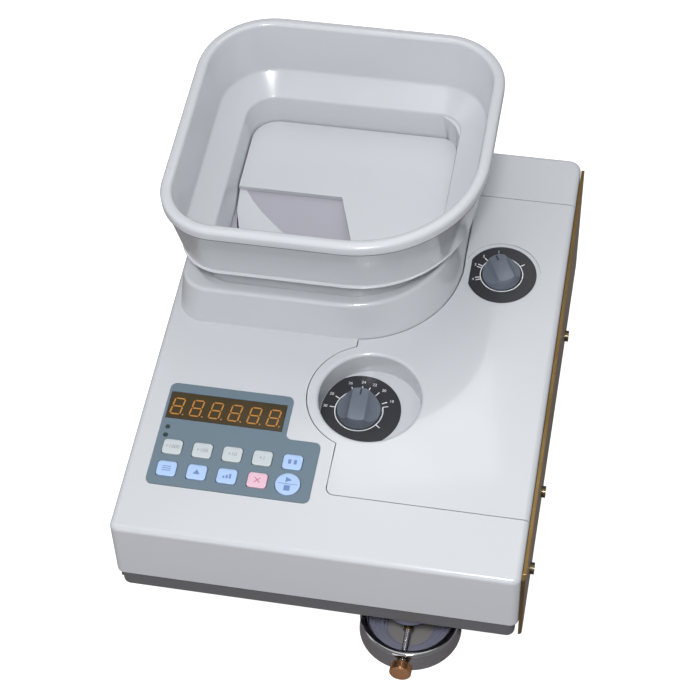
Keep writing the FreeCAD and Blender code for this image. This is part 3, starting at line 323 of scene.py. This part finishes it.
right_plate = frame["nodes"]["side_plate_right"]
plate_low, plate_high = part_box("side_plate_right")
plate_corners = [right_plate.matrix_world @ v.co for v in right_plate.data.vertices]
front_band = 0.002
fold_top = max(c.z for c in plate_corners if c.y < plate_low.y + front_band)
fold_reach, fold_gap, fold_inside, fold_foot, bend_radius = 0.0042, 0.00005, 0.0002, 0.001, 0.0018
fold_low = Vector((plate_low.x - fold_inside, plate_low.y - fold_reach, plate_low.z + fold_foot))
fold_high = Vector((plate_high.x, plate_low.y - fold_gap, fold_top))
alone()
bpy.ops.mesh.primitive_cube_add(size=1.0, location=(fold_low + fold_high) / 2)
fold = bpy.context.object
fold.name = "plate_fold"
fold.scale = fold_high - fold_low
settle(fold)
bend = Vector((fold_high.x, fold_low.y))
pick(fold, "edges", lambda e: all((end.to_2d() - bend).length < 0.0001 for end in edge_ends(fold, e)))
bpy.ops.mesh.bevel(offset=bend_radius, segments=5, affect="EDGES")
smooth(fold)
fold.data.materials.append(plate_gold)
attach(fold, "chassis")

# Hopper: a deep moulded bowl in the same plastic, with a rounded lip, a tapered skirt, a sloped
# ledge round the floor, and a neck that drops into the pedestal over the feed ramp and its apron.
deck_up = Vector(next(j for j in frame["joints"] if j["name"] == "size_turn")["axis"])
deck_slope = math.atan2(-deck_up.y, deck_up.z)
front_edge_height = 0.092
deck = (Matrix.Translation((0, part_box("main_cover")[0].y, front_edge_height))
        @ Matrix.Rotation(deck_slope, 4, "X"))


def draw_out(*steps):
    """Inset the selected face again and again, each time by a thickness and a depth."""
    for inset, rise in steps:
        bpy.ops.mesh.inset(thickness=inset, depth=rise)


def face_outward():
    """Turn every face of the piece in edit mode outward."""
    bpy.ops.mesh.select_all(action="SELECT")
    bpy.ops.mesh.normals_make_consistent(inside=False)


rim_left, rim_right, rim_front, rim_rear, rim_level = -0.120, 0.071, 0.1485, 0.326, 0.093
rim_middle = (rim_left + rim_right) / 2
alone()
bpy.ops.mesh.primitive_plane_add(size=1.0, location=(rim_middle, (rim_front + rim_rear) / 2, rim_level))
bowl = bpy.context.object
bowl.name = "hopper_bowl"
bowl.scale = (rim_right - rim_left, rim_rear - rim_front, 1)
settle(bowl)
for x, v, radius in ((rim_left, rim_front, 0.036), (rim_right, rim_front, 0.078),
                     (rim_right, rim_rear, 0.040), (rim_left, rim_rear, 0.046)):
    pick(bowl, "vertices", lambda p: (p.co - Vector((x, v, rim_level))).length < 0.0005)
    bpy.ops.mesh.bevel(offset=radius, affect="VERTICES", segments=18, clamp_overlap=False)
bpy.ops.mesh.select_mode(type="FACE")
bpy.ops.mesh.select_all(action="SELECT")
bpy.ops.mesh.duplicate()
bpy.ops.mesh.flip_normals()
skirt_steps = ((0.0001, 0.0046), (0.00005, 0.0006), (0.0010, 0.0002), (0.0003, 0.0003), (0.00695, 0.0382),
               (0.0004, 0.0006))
shoulder_steps = ((0.0006, 0.0002), (0.0055, 0.0002))
shoulder_stretch = (1.0, 1.0136, 1.0)
neck_step, neck_squeeze, neck_centre = (0.0004, 0.0255), (0.9, 0.885, 1.0), (-0.0600, 0.2200, 0)
draw_out(*skirt_steps)
bpy.ops.transform.resize(value=shoulder_stretch, center_override=(rim_middle, rim_rear, 0))
draw_out(*shoulder_steps)
bpy.ops.transform.resize(value=neck_squeeze, center_override=neck_centre)
draw_out(neck_step)
bpy.ops.mesh.delete(type="ONLY_FACE")
pick(bowl, "polygons", lambda f: f.normal.z > 0.9 and f.area > 0.01)
lip_steps = ((0.0005, 0.0010), (0.0010, 0.0008), (0.0040, 0.0002), (0.0010, -0.0006), (0.0005, -0.0014))
wall_steps = ((0.0036, -0.0325), (0.0004, -0.0012), (0.0009, -0.0012))
ledge_steps = ((0.0142, -0.0076), (0.0008, -0.0008), (0.0003, -0.0012))
throat_steps = ((0.0016, -0.0185), (0.0002, -0.0080))
draw_out(*lip_steps, *wall_steps, *ledge_steps, *throat_steps)
bpy.ops.mesh.delete(type="ONLY_FACE")
bpy.ops.mesh.select_mode(type="EDGE")
bpy.ops.mesh.select_all(action="SELECT")
bpy.ops.mesh.remove_doubles(threshold=0.00001)
bpy.ops.mesh.select_all(action="DESELECT")
bpy.ops.mesh.select_non_manifold()
bpy.ops.mesh.bridge_edge_loops()
face_outward()
bowl.data.materials.append(shell_plastic)
# Painted shadow: a dark grey plastic stands in for the shade in the seam between the lip band and the skirt.
seam_shade = plastic("seam_shade", (0.13, 0.13, 0.14), mottle=0.1, peel=900, gloss=0.5)
bowl.data.materials.append(seam_shade)
alone()
seam_drop = 0.0049
seam_level = rim_level - seam_drop
# The faces of the small step under the lip band take the dark painted shadow, which draws the seam as a dark
# line.
pick(bowl, "polygons", lambda f: abs(f.center.z - seam_level) < 0.00015)
bowl.active_material_index = 1
bpy.ops.object.material_slot_assign()
settle(bowl, deck)
smooth(bowl, 50)
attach(bowl, "chassis")
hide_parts("hopper")
dress(shell_plastic, "hopper_floor")
throat_plastic = plastic("throat_plastic", (0.36, 0.36, 0.41),
                         mottle=0.14, peel=700, gloss=0.3, bump=0.05)
dress(throat_plastic, "feed_throat")
ramp_slope, ramp_head = math.radians(29.0), Vector((0, 0.240, 0.0264))
apron_outline_mm = ((-86, 0), (-80.5, -7), (-73.7, -13.6), (-65, -20.5), (-55, -27.5), (-43, -34),
                    (-32, -39.5), (-32, -43), (-80.8, -43), (-85.8, -32), (-88.6, -20), (-90.2, -14),
                    (-90.2, 0))
apron_low, apron_thick, apron_edge = 0.0001, 0.0004, (0.0003, 0.0002)
alone()
bpy.ops.mesh.primitive_circle_add(vertices=len(apron_outline_mm), radius=1.0, fill_type="NGON")
apron = bpy.context.object
apron.name = "feed_apron"
for vertex, (x, along) in zip(apron.data.vertices, apron_outline_mm):
    vertex.co = (x / 1000, along / 1000, apron_low)
pick(apron, "polygons", lambda f: True)
bpy.ops.mesh.extrude_region_move(TRANSFORM_OT_translate={"value": (0, 0, apron_thick)})
draw_out(apron_edge)
face_outward()
settle(apron, deck @ Matrix.Translation(ramp_head) @ Matrix.Rotation(ramp_slope, 4, "X"))
apron.data.materials.append(shell_plastic)
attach(apron, "chassis")

# Key panel: a printed grey-blue film stuck in a shallow recess, with a tinted window over the
# display and two lamps beside it.
film_print = plastic("film_print", (0.125, 0.178, 0.222), mottle=0.06, peel=2200, gloss=0.42, bump=0.2)
dress(film_print, "panel_overlay")
window_tint = plastic("window_tint", (0.050, 0.034, 0.011), mottle=0.1, peel=300, gloss=0.1, bump=0.01)
dress(window_tint, "display_window")
lamp_lens = plastic("lamp_lens", (0.020, 0.045, 0.035), mottle=0.1, peel=900, gloss=0.15)
dress(lamp_lens, "mode_lamps")

# Display digits: six amber seven-segment figures, each with its point, made of small bars that
# lean to the right and glow faintly in the window.
glow = plastic("segment_glow", (0.40, 0.17, 0.022),
               mottle=0.25, peel=500, gloss=0.4, Emission_Color=(0.75, 0.29, 0.03, 1), Emission_Strength=0.12)
window_left, window_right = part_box("display_window")[0].x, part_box("display_window")[1].x
window_front, window_back = 0.0798, 0.0985
window_top = 0.00015
digit_count = 6
digit_pitch = (window_right - window_left) / digit_count
digit_high, digit_wide, bar_wide, bar_scale, lean = 0.0112, 0.0061, 0.00085, 0.001, 0.12
flat_share, upright_share, point_gap = 0.84, 0.86, 0.0019
bar_corner, bar_rise = 0.18, 0.08
digit_forward, digit_share = 0.0006, 0.46


def own_copy(piece):
    """A copy of a piece with a mesh of its own."""
    copied = piece.copy()
    copied.data = piece.data.copy()
    bpy.context.collection.objects.link(copied)
    return copied


def as_one(pieces, name):
    """Join pieces as one, under one name."""
    alone()
    for piece in pieces:
        piece.select_set(True)
    bpy.context.view_layer.objects.active = pieces[0]
    if len(pieces) > 1:
        bpy.ops.object.join()
    made = bpy.context.view_layer.objects.active
    made.name = name
    return made


def thicken(rise):
    """Give the flat piece in edit mode a thickness."""
    bpy.ops.mesh.select_all(action="SELECT")
    bpy.ops.mesh.extrude_region_move(TRANSFORM_OT_translate={"value": (0, 0, rise)})
    face_outward()


alone()
bpy.ops.mesh.primitive_plane_add(size=1.0)
bar = bpy.context.object
pick(bar, "vertices", lambda p: True)
bpy.ops.mesh.bevel(offset=bar_corner, affect="VERTICES", segments=2)
thicken(bar_rise)
alone()
segments = []
half_high, half_wide = digit_high / 2, digit_wide / 2
centre_v = (window_front + window_back) / 2 - digit_forward
for digit in range(digit_count):
    centre_x = window_left + digit_pitch * (digit + digit_share)
    for dx, dv, kind in ((0, half_high, "flat"), (0, 0, "flat"), (0, -half_high, "flat"),
                         (-half_wide, half_high / 2, "upright"), (half_wide, half_high / 2, "upright"),
                         (-half_wide, -half_high / 2, "upright"), (half_wide, -half_high / 2, "upright"),
                         (half_wide + point_gap, -half_high, "point")):
        piece = own_copy(bar)
        piece.scale = (bar_wide, bar_wide, bar_scale)
        if kind == "flat":
            piece.scale.x = digit_wide * flat_share
        elif kind == "upright":
            piece.scale.y = half_high * upright_share
            piece.rotation_euler.z = -lean
        piece.location = (centre_x + dx + lean * dv, centre_v + dv, window_top)
        settle(piece, deck)
        segments.append(piece)
bpy.data.objects.remove(bar)
digits = as_one(segments, "display_digits")
digits.data.materials.append(glow)
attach(digits, "chassis")

# Keys: ten soft-edged caps moulded in white, blue and pink, nine near-square and one round, that
# rise a millimetre through the film, with plain marks printed on top.
key_first, key_pitch, row_back, row_front = -0.0952, 0.0182, 0.0594, 0.0441
key_wide, key_deep, key_low, key_top = 0.0115, 0.010, -0.007, 0.001
key_corner, start_radius, face_rise = 0.002, 0.0074, 0.00025
ink_thick, ink_lift, figure_high = 0.00006, 0.00002, 0.0034
cap_edge = ((0.0002, 0.00012), (0.0004, 0.00012))
square_crown, round_crown = (0.0009, 0.00003), (0.0012, 0.00004)
white_cap = plastic("white_cap", (0.51, 0.56, 0.575), mottle=0.05, peel=1800, gloss=0.38, bump=0.1)
blue_cap = plastic("blue_cap", (0.385, 0.54, 0.81), mottle=0.05, peel=1800, gloss=0.38, bump=0.1)
pink_cap = plastic("pink_cap", (0.72, 0.47, 0.565), mottle=0.05, peel=1800, gloss=0.38, bump=0.1)
grey_ink = plastic("grey_ink", (0.23, 0.25, 0.27), mottle=0.2, peel=3000, gloss=0.5)
blue_ink = plastic("blue_ink", (0.13, 0.22, 0.44), mottle=0.2, peel=3000, gloss=0.5)
rose_ink = plastic("rose_ink", (0.52, 0.16, 0.25), mottle=0.2, peel=3000, gloss=0.5)
inks = {white_cap: grey_ink, blue_cap: blue_ink, pink_cap: rose_ink}
alone()
bpy.ops.mesh.primitive_cube_add(size=1.0)
square_cap = bpy.context.object
square_cap.scale = (key_wide, key_deep, key_top - key_low)
settle(square_cap)
pick(square_cap, "edges", lambda e: len({round(end.z, 4) for end in edge_ends(square_cap, e)}) == 2)
bpy.ops.mesh.bevel(offset=key_corner, segments=5, affect="EDGES")
pick(square_cap, "polygons", lambda f: f.normal.z > 0.9)
draw_out(*cap_edge, square_crown)
alone()
bpy.ops.mesh.primitive_cylinder_add(vertices=56, radius=start_radius, depth=key_top - key_low)
round_cap = bpy.context.object
pick(round_cap, "polygons", lambda f: f.normal.z > 0.9)
draw_out(*cap_edge, round_crown)
alone()


def written(text, height, place, name):
    """A thin printed mark made from plain type, ready to lay on a face."""
    alone()
    bpy.ops.object.text_add()
    made = bpy.context.object
    made.name = name
    made.data.body = text
    made.data.align_x, made.data.align_y = "CENTER", "CENTER"
    made.data.size = height
    made.data.extrude = ink_thick / 2
    bpy.ops.object.convert(target="MESH")
    return settle(bpy.context.object, place)


def plate_mark(points, place, name):
    """A thin printed mark with a straight-sided outline, filled and given a little height."""
    alone()
    bpy.ops.mesh.primitive_circle_add(vertices=len(points), radius=1.0, fill_type="NGON")
    made = bpy.context.object
    made.name = name
    for vertex, (x, v) in zip(made.data.vertices, points):
        vertex.co = (x, v, 0.0)
    bpy.ops.object.mode_set(mode="EDIT")
    thicken(ink_thick)
    return settle(made, place)


def bar_points(x0, x1, v0, v1):
    """Corners of a straight bar."""
    return [(x0, v0), (x1, v0), (x1, v1), (x0, v1)]


key_faces = (
    ("key_thousands", 0, row_back, white_cap, "+1000"), ("key_hundreds", 1, row_back, white_cap, "+100"),
    ("key_tens", 2, row_back, white_cap, "+10"), ("key_ones", 3, row_back, white_cap, "+1"),
    ("key_count_mode", 4, row_back, blue_cap, None), ("key_batch", 0, row_front, blue_cap, None),
    ("key_memory", 1, row_front, blue_cap, None), ("key_total", 2, row_front, blue_cap, None),
    ("key_clear", 3, row_front, pink_cap, None), ("key_start", 4, row_front, blue_cap, None))
stroke = 0.0005
key_signs = {
    "key_count_mode": [bar_points(-0.0026, -0.0008, -0.0015, 0.0015),
                       bar_points(0.0008, 0.0026, -0.0015, 0.0015)],
    "key_batch": [bar_points(-0.0026, 0.0026, v - stroke / 2, v + stroke / 2)
                  for v in (-0.0014, 0.0, 0.0014)],
    "key_memory": [[(-0.0021, -0.0014), (0.0021, -0.0014), (0.0, 0.0018)]],
    "key_total": [bar_points(-0.0024 + 0.0019 * n, -0.0012 + 0.0019 * n, -0.0016, -0.0002 + 0.0009 * n)
                  for n in range(3)],
    "key_clear": [[(-0.0019, -0.0015), (-0.0015, -0.0019), (0.0019, 0.0015), (0.0015, 0.0019)],
                  [(0.0019, -0.0015), (0.0015, -0.0019), (-0.0019, 0.0015), (-0.0015, 0.0019)]],
    "key_start": [bar_points(-0.0058, 0.0058, -0.0002, 0.0002),
                  [(-0.0016, 0.0010), (0.0022, 0.0028), (-0.0016, 0.0046)],
                  bar_points(-0.0018, 0.0018, -0.0046, -0.0010)]}
for node, column, row, cap_finish, figures in key_faces:
    cap = own_copy(round_cap if node == "key_start" else square_cap)
    cap.name = node + "_cap"
    centre = Vector((key_first + key_pitch * column, row, 0))
    settle(cap, deck @ Matrix.Translation(centre + Vector((0, 0, (key_low + key_top) / 2 - face_rise))))
    smooth(cap, 40)
    cap.data.materials.append(cap_finish)
    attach(cap, node)
    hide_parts(node)
    level = Matrix.Translation(centre + Vector((0, 0, key_top + ink_lift)))
    if figures:
        marks = [written(figures, figure_high, deck @ level, node + "_mark")]
    else:
        marks = [plate_mark(points, deck @ level, node + "_mark") for points in key_signs[node]]
    mark = as_one(marks, node + "_mark")
    mark.data.materials.append(inks[cap_finish])
    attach(mark, node)
bpy.data.objects.remove(square_cap)
bpy.data.objects.remove(round_cap)

# Dials: black printed discs under each knob, with a white ring, ticks and plain figures printed
# on the lid, where they swing with it.
dial_print = plastic("dial_print", (0.024, 0.026, 0.031), mottle=0.15, peel=2500, gloss=0.33, bump=0.1)
dress(dial_print, "size_dial", "gate_dial")
size_centre, gate_centre = (0.007, 0.113), (0.0803, 0.2162)
size_floor, gate_floor, print_rise = -0.0176, -0.0008, 0.00001
ring_wide, tick_long, tick_wide, number_high = 0.0006, 0.0034, 0.0006, 0.0027
dial_ink = plastic("dial_ink", (0.78, 0.79, 0.80), mottle=0.08, peel=3000, gloss=0.45)


def ring_strip(radius, wide, start, sweep, place, name):
    """A thin arc strip: a short edge spun about the dial's axis."""
    alone()
    bpy.ops.mesh.primitive_plane_add(size=1.0)
    made = bpy.context.object
    made.name = name
    pick(made, "vertices", lambda p: p.co.y > 0)
    bpy.ops.mesh.delete(type="VERT")
    alone()
    made.data.vertices[0].co, made.data.vertices[1].co = (radius - wide / 2, 0, 0), (radius + wide / 2, 0, 0)
    made.data.transform(Matrix.Rotation(start, 4, "Z"))
    made.select_set(True)
    bpy.context.view_layer.objects.active = made
    bpy.ops.object.mode_set(mode="EDIT")
    bpy.ops.mesh.select_all(action="SELECT")
    bpy.ops.mesh.spin(steps=96, angle=sweep, center=(0, 0, 0), axis=(0, 0, 1))
    bpy.ops.mesh.select_all(action="SELECT")
    bpy.ops.mesh.remove_doubles(threshold=0.000005)
    thicken(ink_thick)
    return settle(made, place)


def clock(hours):
    """Angle of a clock-face hour, counter-clockwise from the right."""
    return math.radians(90 - 30 * hours)


def scale_marks(name, centre, level, ring_radius, ring_from, ring_to, ticks, figures, words_radius):
    """Ring, ticks and figures of one dial, set by the hours of a clock face, as one print on the lid."""
    ground = deck @ Matrix.Translation((centre[0], centre[1], level))
    sweep = clock(ring_from) - clock(ring_to)
    marks = [ring_strip(ring_radius, ring_wide, clock(ring_to), sweep, ground, name)]
    for hour in ticks:
        turn = Matrix.Rotation(clock(hour), 4, "Z")
        tick = bar_points(ring_radius, ring_radius + tick_long, -tick_wide / 2, tick_wide / 2)
        marks.append(plate_mark(tick, ground @ turn, name))
    for hour, text in figures:
        spot_at = Matrix.Rotation(clock(hour), 4, "Z") @ Vector((words_radius, 0, 0))
        marks.append(written(text, number_high, ground @ Matrix.Translation(spot_at), name))
    made = as_one(marks, name)
    made.data.materials.append(dial_ink)
    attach(made, "lid")


scale_marks("size_scale", size_centre, size_floor + print_rise,
            ring_radius=0.0147, ring_from=4.2, ring_to=14.41,
            ticks=(9.06, 9.94, 11.21, 11.92, 12.43, 13.14, 14.07, 14.41, 16.2),
            figures=((9.06, "30"), (9.94, "28"), (11.21, "26"), (11.95, "24"), (12.6, "22"), (13.25, "20"),
                     (14.1, "18")), words_radius=0.0210)
scale_marks("gate_scale", gate_centre, gate_floor + print_rise,
            ring_radius=0.0133, ring_from=0.0, ring_to=12.0,
            ticks=(8.25, 8.48, 9.5, 9.73, 10.47, 11.58, 13.78),
            figures=((8.36, "4"), (9.6, "3"), (10.5, "2"), (11.58, "1")), words_radius=0.0182)

# Knobs: satin grey moulded caps with a raised grip across the middle that points at the setting,
# pressed on their stems.
knob_grey = metal("knob_grey", (0.135, 0.16, 0.20), (0.18, 0.205, 0.25),
                  stretch=(260, 260, 260), streak=0.2, gloss=0.22, bump=0.05, metallic=0.15)
size_skirt, gate_skirt = 0.0134, 0.0120


def carve(piece, cutter):
    """Cut one piece with another by an applied boolean, and drop the cutter."""
    alone()
    piece.select_set(True)
    bpy.context.view_layer.objects.active = piece
    hollow = piece.modifiers.new("hollow", "BOOLEAN")
    hollow.operation = "DIFFERENCE"
    hollow.object = cutter
    bpy.ops.object.modifier_apply(modifier=hollow.name)
    bpy.data.objects.remove(cutter)


def turned_knob(name, node, centre, low, radius, pointing):
    """A low tapered cap scooped on both sides, which leaves the grip, with its edges broken."""
    high, scoop, skin, taper = 0.0077, 0.0118, 0.0002, 0.0018
    grip_half, face_level, pointer_half, pointer_inset = 0.0037, 0.0014, 0.0005, 0.0024

    def standing(level):
        """The knob's place on the deck at a height."""
        return deck @ Matrix.Translation((centre[0], centre[1], level)) @ Matrix.Rotation(pointing, 4, "Z")

    alone()
    bpy.ops.mesh.primitive_cone_add(vertices=96, radius1=radius + skin, radius2=radius + skin - taper,
                                    depth=high, location=(0, 0, high / 2))
    made = settle(bpy.context.object)
    made.name = name
    for side in (-1, 1):
        alone()
        bpy.ops.mesh.primitive_cylinder_add(vertices=128, radius=scoop, depth=0.05,
                                            rotation=(math.pi / 2, 0, 0),
                                            location=(side * (scoop + grip_half), 0, scoop + face_level))
        carve(made, settle(bpy.context.object))
    broken = made.modifiers.new("broken_edges", "BEVEL")
    broken.width, broken.segments, broken.angle_limit = 0.00045, 3, math.radians(32)
    bpy.ops.object.modifier_apply(modifier=broken.name)
    settle(made, standing(low))
    smooth(made)
    made.data.materials.append(knob_grey)
    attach(made, node)
    pointer = bar_points(-pointer_half, pointer_half, radius * 0.5, radius - pointer_inset)
    line = plate_mark(pointer, standing(low + high), name + "_mark")
    line.data.materials.append(dial_print)
    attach(line, node)


turned_knob("size_cap", "size_knob", size_centre, size_floor, size_skirt, pointing=0.0)
turned_knob("gate_cap", "gate_knob", gate_centre, gate_floor, gate_skirt, pointing=math.radians(28))
dress(knob_grey, "size_knob", "gate_knob")

# Outlet: a polished steel ring on hangers under the front, a stepped dish moulded with raised
# rings, the coin tube and a brass thumb screw that clamps a bag or tube.
polished = metal("polished_ring", (0.36, 0.36, 0.37), (0.42, 0.42, 0.43),
                 stretch=(20, 20, 600), streak=0.05, gloss=0.06, bump=0.02)
dress(polished, "outlet_ring")
dish_plastic = plastic("dish_plastic", (0.17, 0.18, 0.24), mottle=0.1, peel=900, gloss=0.3)
dress(dish_plastic, "outlet_dish", "outlet_tube")
dish_gloss = plastic("dish_gloss", (0.24, 0.25, 0.33), mottle=0.1, peel=900, gloss=0.14, Coat_Weight=0.4)
liner_radius, liner_gap, liner_thick, liner_lip = 0.0260, 0.00005, 0.0002, 0.0012
alone()
bpy.ops.mesh.primitive_circle_add(vertices=96, radius=liner_radius, fill_type="NGON",
                                  location=(dish_x, dish_y, dish_high.z + liner_gap))
liner = settle(bpy.context.object)
liner.name = "dish_liner"
pick(liner, "polygons", lambda f: True)
outer_ring, inner_ring = (0.0016, 0.00015, -0.00215), (0.00175, 0.0003, -0.0013)
bead_side, bead_top = 0.00025, 0.00035
for flat, bead, fall in (outer_ring, inner_ring, inner_ring, inner_ring):
    draw_out((flat, 0.0), (bead_side, bead), (bead_top, 0.0), (bead_side, fall))
draw_out((liner_lip, 0.0))
bpy.ops.mesh.delete(type="ONLY_FACE")
alone()
sheet = liner.modifiers.new("sheet", "SOLIDIFY")
sheet.thickness, sheet.offset = liner_thick, 1.0
bpy.context.view_layer.objects.active = liner
bpy.ops.object.modifier_apply(modifier=sheet.name)
smooth(liner, 30)
liner.data.materials.append(dish_gloss)
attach(liner, "chassis")
bright_brass = metal("bright_brass", (0.50, 0.31, 0.11), (0.60, 0.39, 0.16),
                     stretch=(300, 60, 300), streak=0.15, gloss=0.14, bump=0.06)
copper_face = metal("copper_face", (0.60, 0.30, 0.14), (0.68, 0.38, 0.18),
                    stretch=(60, 300, 60), streak=0.2, gloss=0.16, bump=0.06)
dress(bright_brass, "clamp_screw")
screw_low, screw_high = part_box("clamp_screw")
screw_x, screw_z = (screw_low.x + screw_high.x) / 2, (screw_low.z + screw_high.z) / 2
head_front, head_back, tip_front = screw_low.y + 0.0008, screw_low.y + 0.006, screw_high.y - 0.0090
head_radius, collar_radius, rod_radius, tip_radius = 0.0064, 0.0034, 0.0016, 0.0031
collar_long, tip_long = 0.0025, 0.0045
head_steps = ((0.0004, 0.0005), (0.0008, 0.0002), (0.0008, -0.0002))
collar_step, tip_step = (0.0003, 0.0), (0.0005, 0.0003)
knurl_inset, knurl_depth = 0.00008, 0.00016


def screw_piece(name, radius, start, end, sides, steps, finish):
    """A round piece on the screw's axis whose front face is drawn out by steps of inset and depth."""
    alone()
    bpy.ops.mesh.primitive_cylinder_add(vertices=sides, radius=radius, depth=end - start,
                                        rotation=(math.pi / 2, 0, 0),
                                        location=(screw_x, (start + end) / 2, screw_z))
    made = settle(bpy.context.object)
    made.name = name
    pick(made, "polygons", lambda f: f.normal.y < -0.9)
    draw_out(*steps)
    alone()
    made.data.materials.append(finish)
    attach(made, "clamp")
    return made


screw_head = screw_piece("screw_head", head_radius, head_front, head_back, 72, head_steps, copper_face)
pick(screw_head, "polygons", lambda f: abs(f.normal.y) < 0.1 and f.index % 2 == 0 and f.area > 1e-6)
bpy.ops.mesh.inset(thickness=knurl_inset, depth=knurl_depth, use_individual=True)
smooth(screw_head, 25)
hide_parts("clamp_screw")
screw_collar = screw_piece("screw_collar", collar_radius, head_back, head_back + collar_long, 48,
                           (collar_step,), bright_brass)
smooth(screw_collar)
turn_count, crest = 22, 1.2
half_turn = (tip_front - head_back) / (2 * turn_count)
alone()
bpy.ops.mesh.primitive_circle_add(vertices=32, radius=rod_radius, fill_type="NGON",
                                  rotation=(math.pi / 2, 0, 0), location=(screw_x, head_back, screw_z))
screw_rod = settle(bpy.context.object)
screw_rod.name = "screw_rod"
pick(screw_rod, "polygons", lambda f: True)
for step in range(2 * turn_count):
    bpy.ops.mesh.extrude_region_move(TRANSFORM_OT_translate={"value": (0, half_turn, 0)})
    swell = crest if step % 2 == 0 else 1 / crest
    bpy.ops.transform.resize(value=(swell, 1, swell), center_override=(screw_x, 0, screw_z))
face_outward()
smooth(screw_rod, 20)
screw_rod.data.materials.append(polished)
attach(screw_rod, "clamp")
screw_tip = screw_piece("screw_tip", tip_radius, tip_front, tip_front + tip_long, 48,
                        (tip_step,), bright_brass)
smooth(screw_tip)

# Back and inside: black mouldings of the inlet and switch, green boards, motors, steel rails and
# posts, and a bright aluminium coin deck, disc and pulleys.
black_moulding = plastic("black_moulding", (0.02, 0.02, 0.022),
                         mottle=0.2, peel=1100, gloss=0.4, bump=0.15)
dress(black_moulding, "power_inlet", "power_switch", "fuse_cap", "coin_sensor", "stop_solenoid",
      "transformer")
board_green = plastic("board_green", (0.02, 0.10, 0.045), mottle=0.3, peel=800, gloss=0.3, bump=0.2)
dress(board_green, "control_board", "main_board")
motor_can = metal("motor_can", (0.16, 0.165, 0.17), (0.22, 0.22, 0.23),
                  stretch=(60, 60, 900), streak=0.2, gloss=0.35, bump=0.08, metallic=0.8)
dress(motor_can, "drive_motor", "feed_motor")
deck_alloy = metal("deck_alloy", (0.60, 0.61, 0.63), (0.66, 0.67, 0.69),
                   stretch=(40, 800, 800), streak=0.25, gloss=0.22, bump=0.08)
dress(deck_alloy, "coin_deck", "feed_disc", "disc_rim", "disc_pulley", "motor_pulley", "belt_drive_roller",
      "belt_idler_roller")
turned_steel = metal("turned_steel", (0.42, 0.42, 0.43), (0.5, 0.5, 0.51),
                     stretch=(500, 40, 500), streak=0.25, gloss=0.2, bump=0.1)
dress(turned_steel, "lid_hinge_pin", "deck_posts", "disc_shaft", "stop_plunger", "motor_bridge",
      "belt_bracket", "fixed_rail", "adjustable_guide", "thickness_gate", "rear_plate")

bpy.context.view_layer.update()
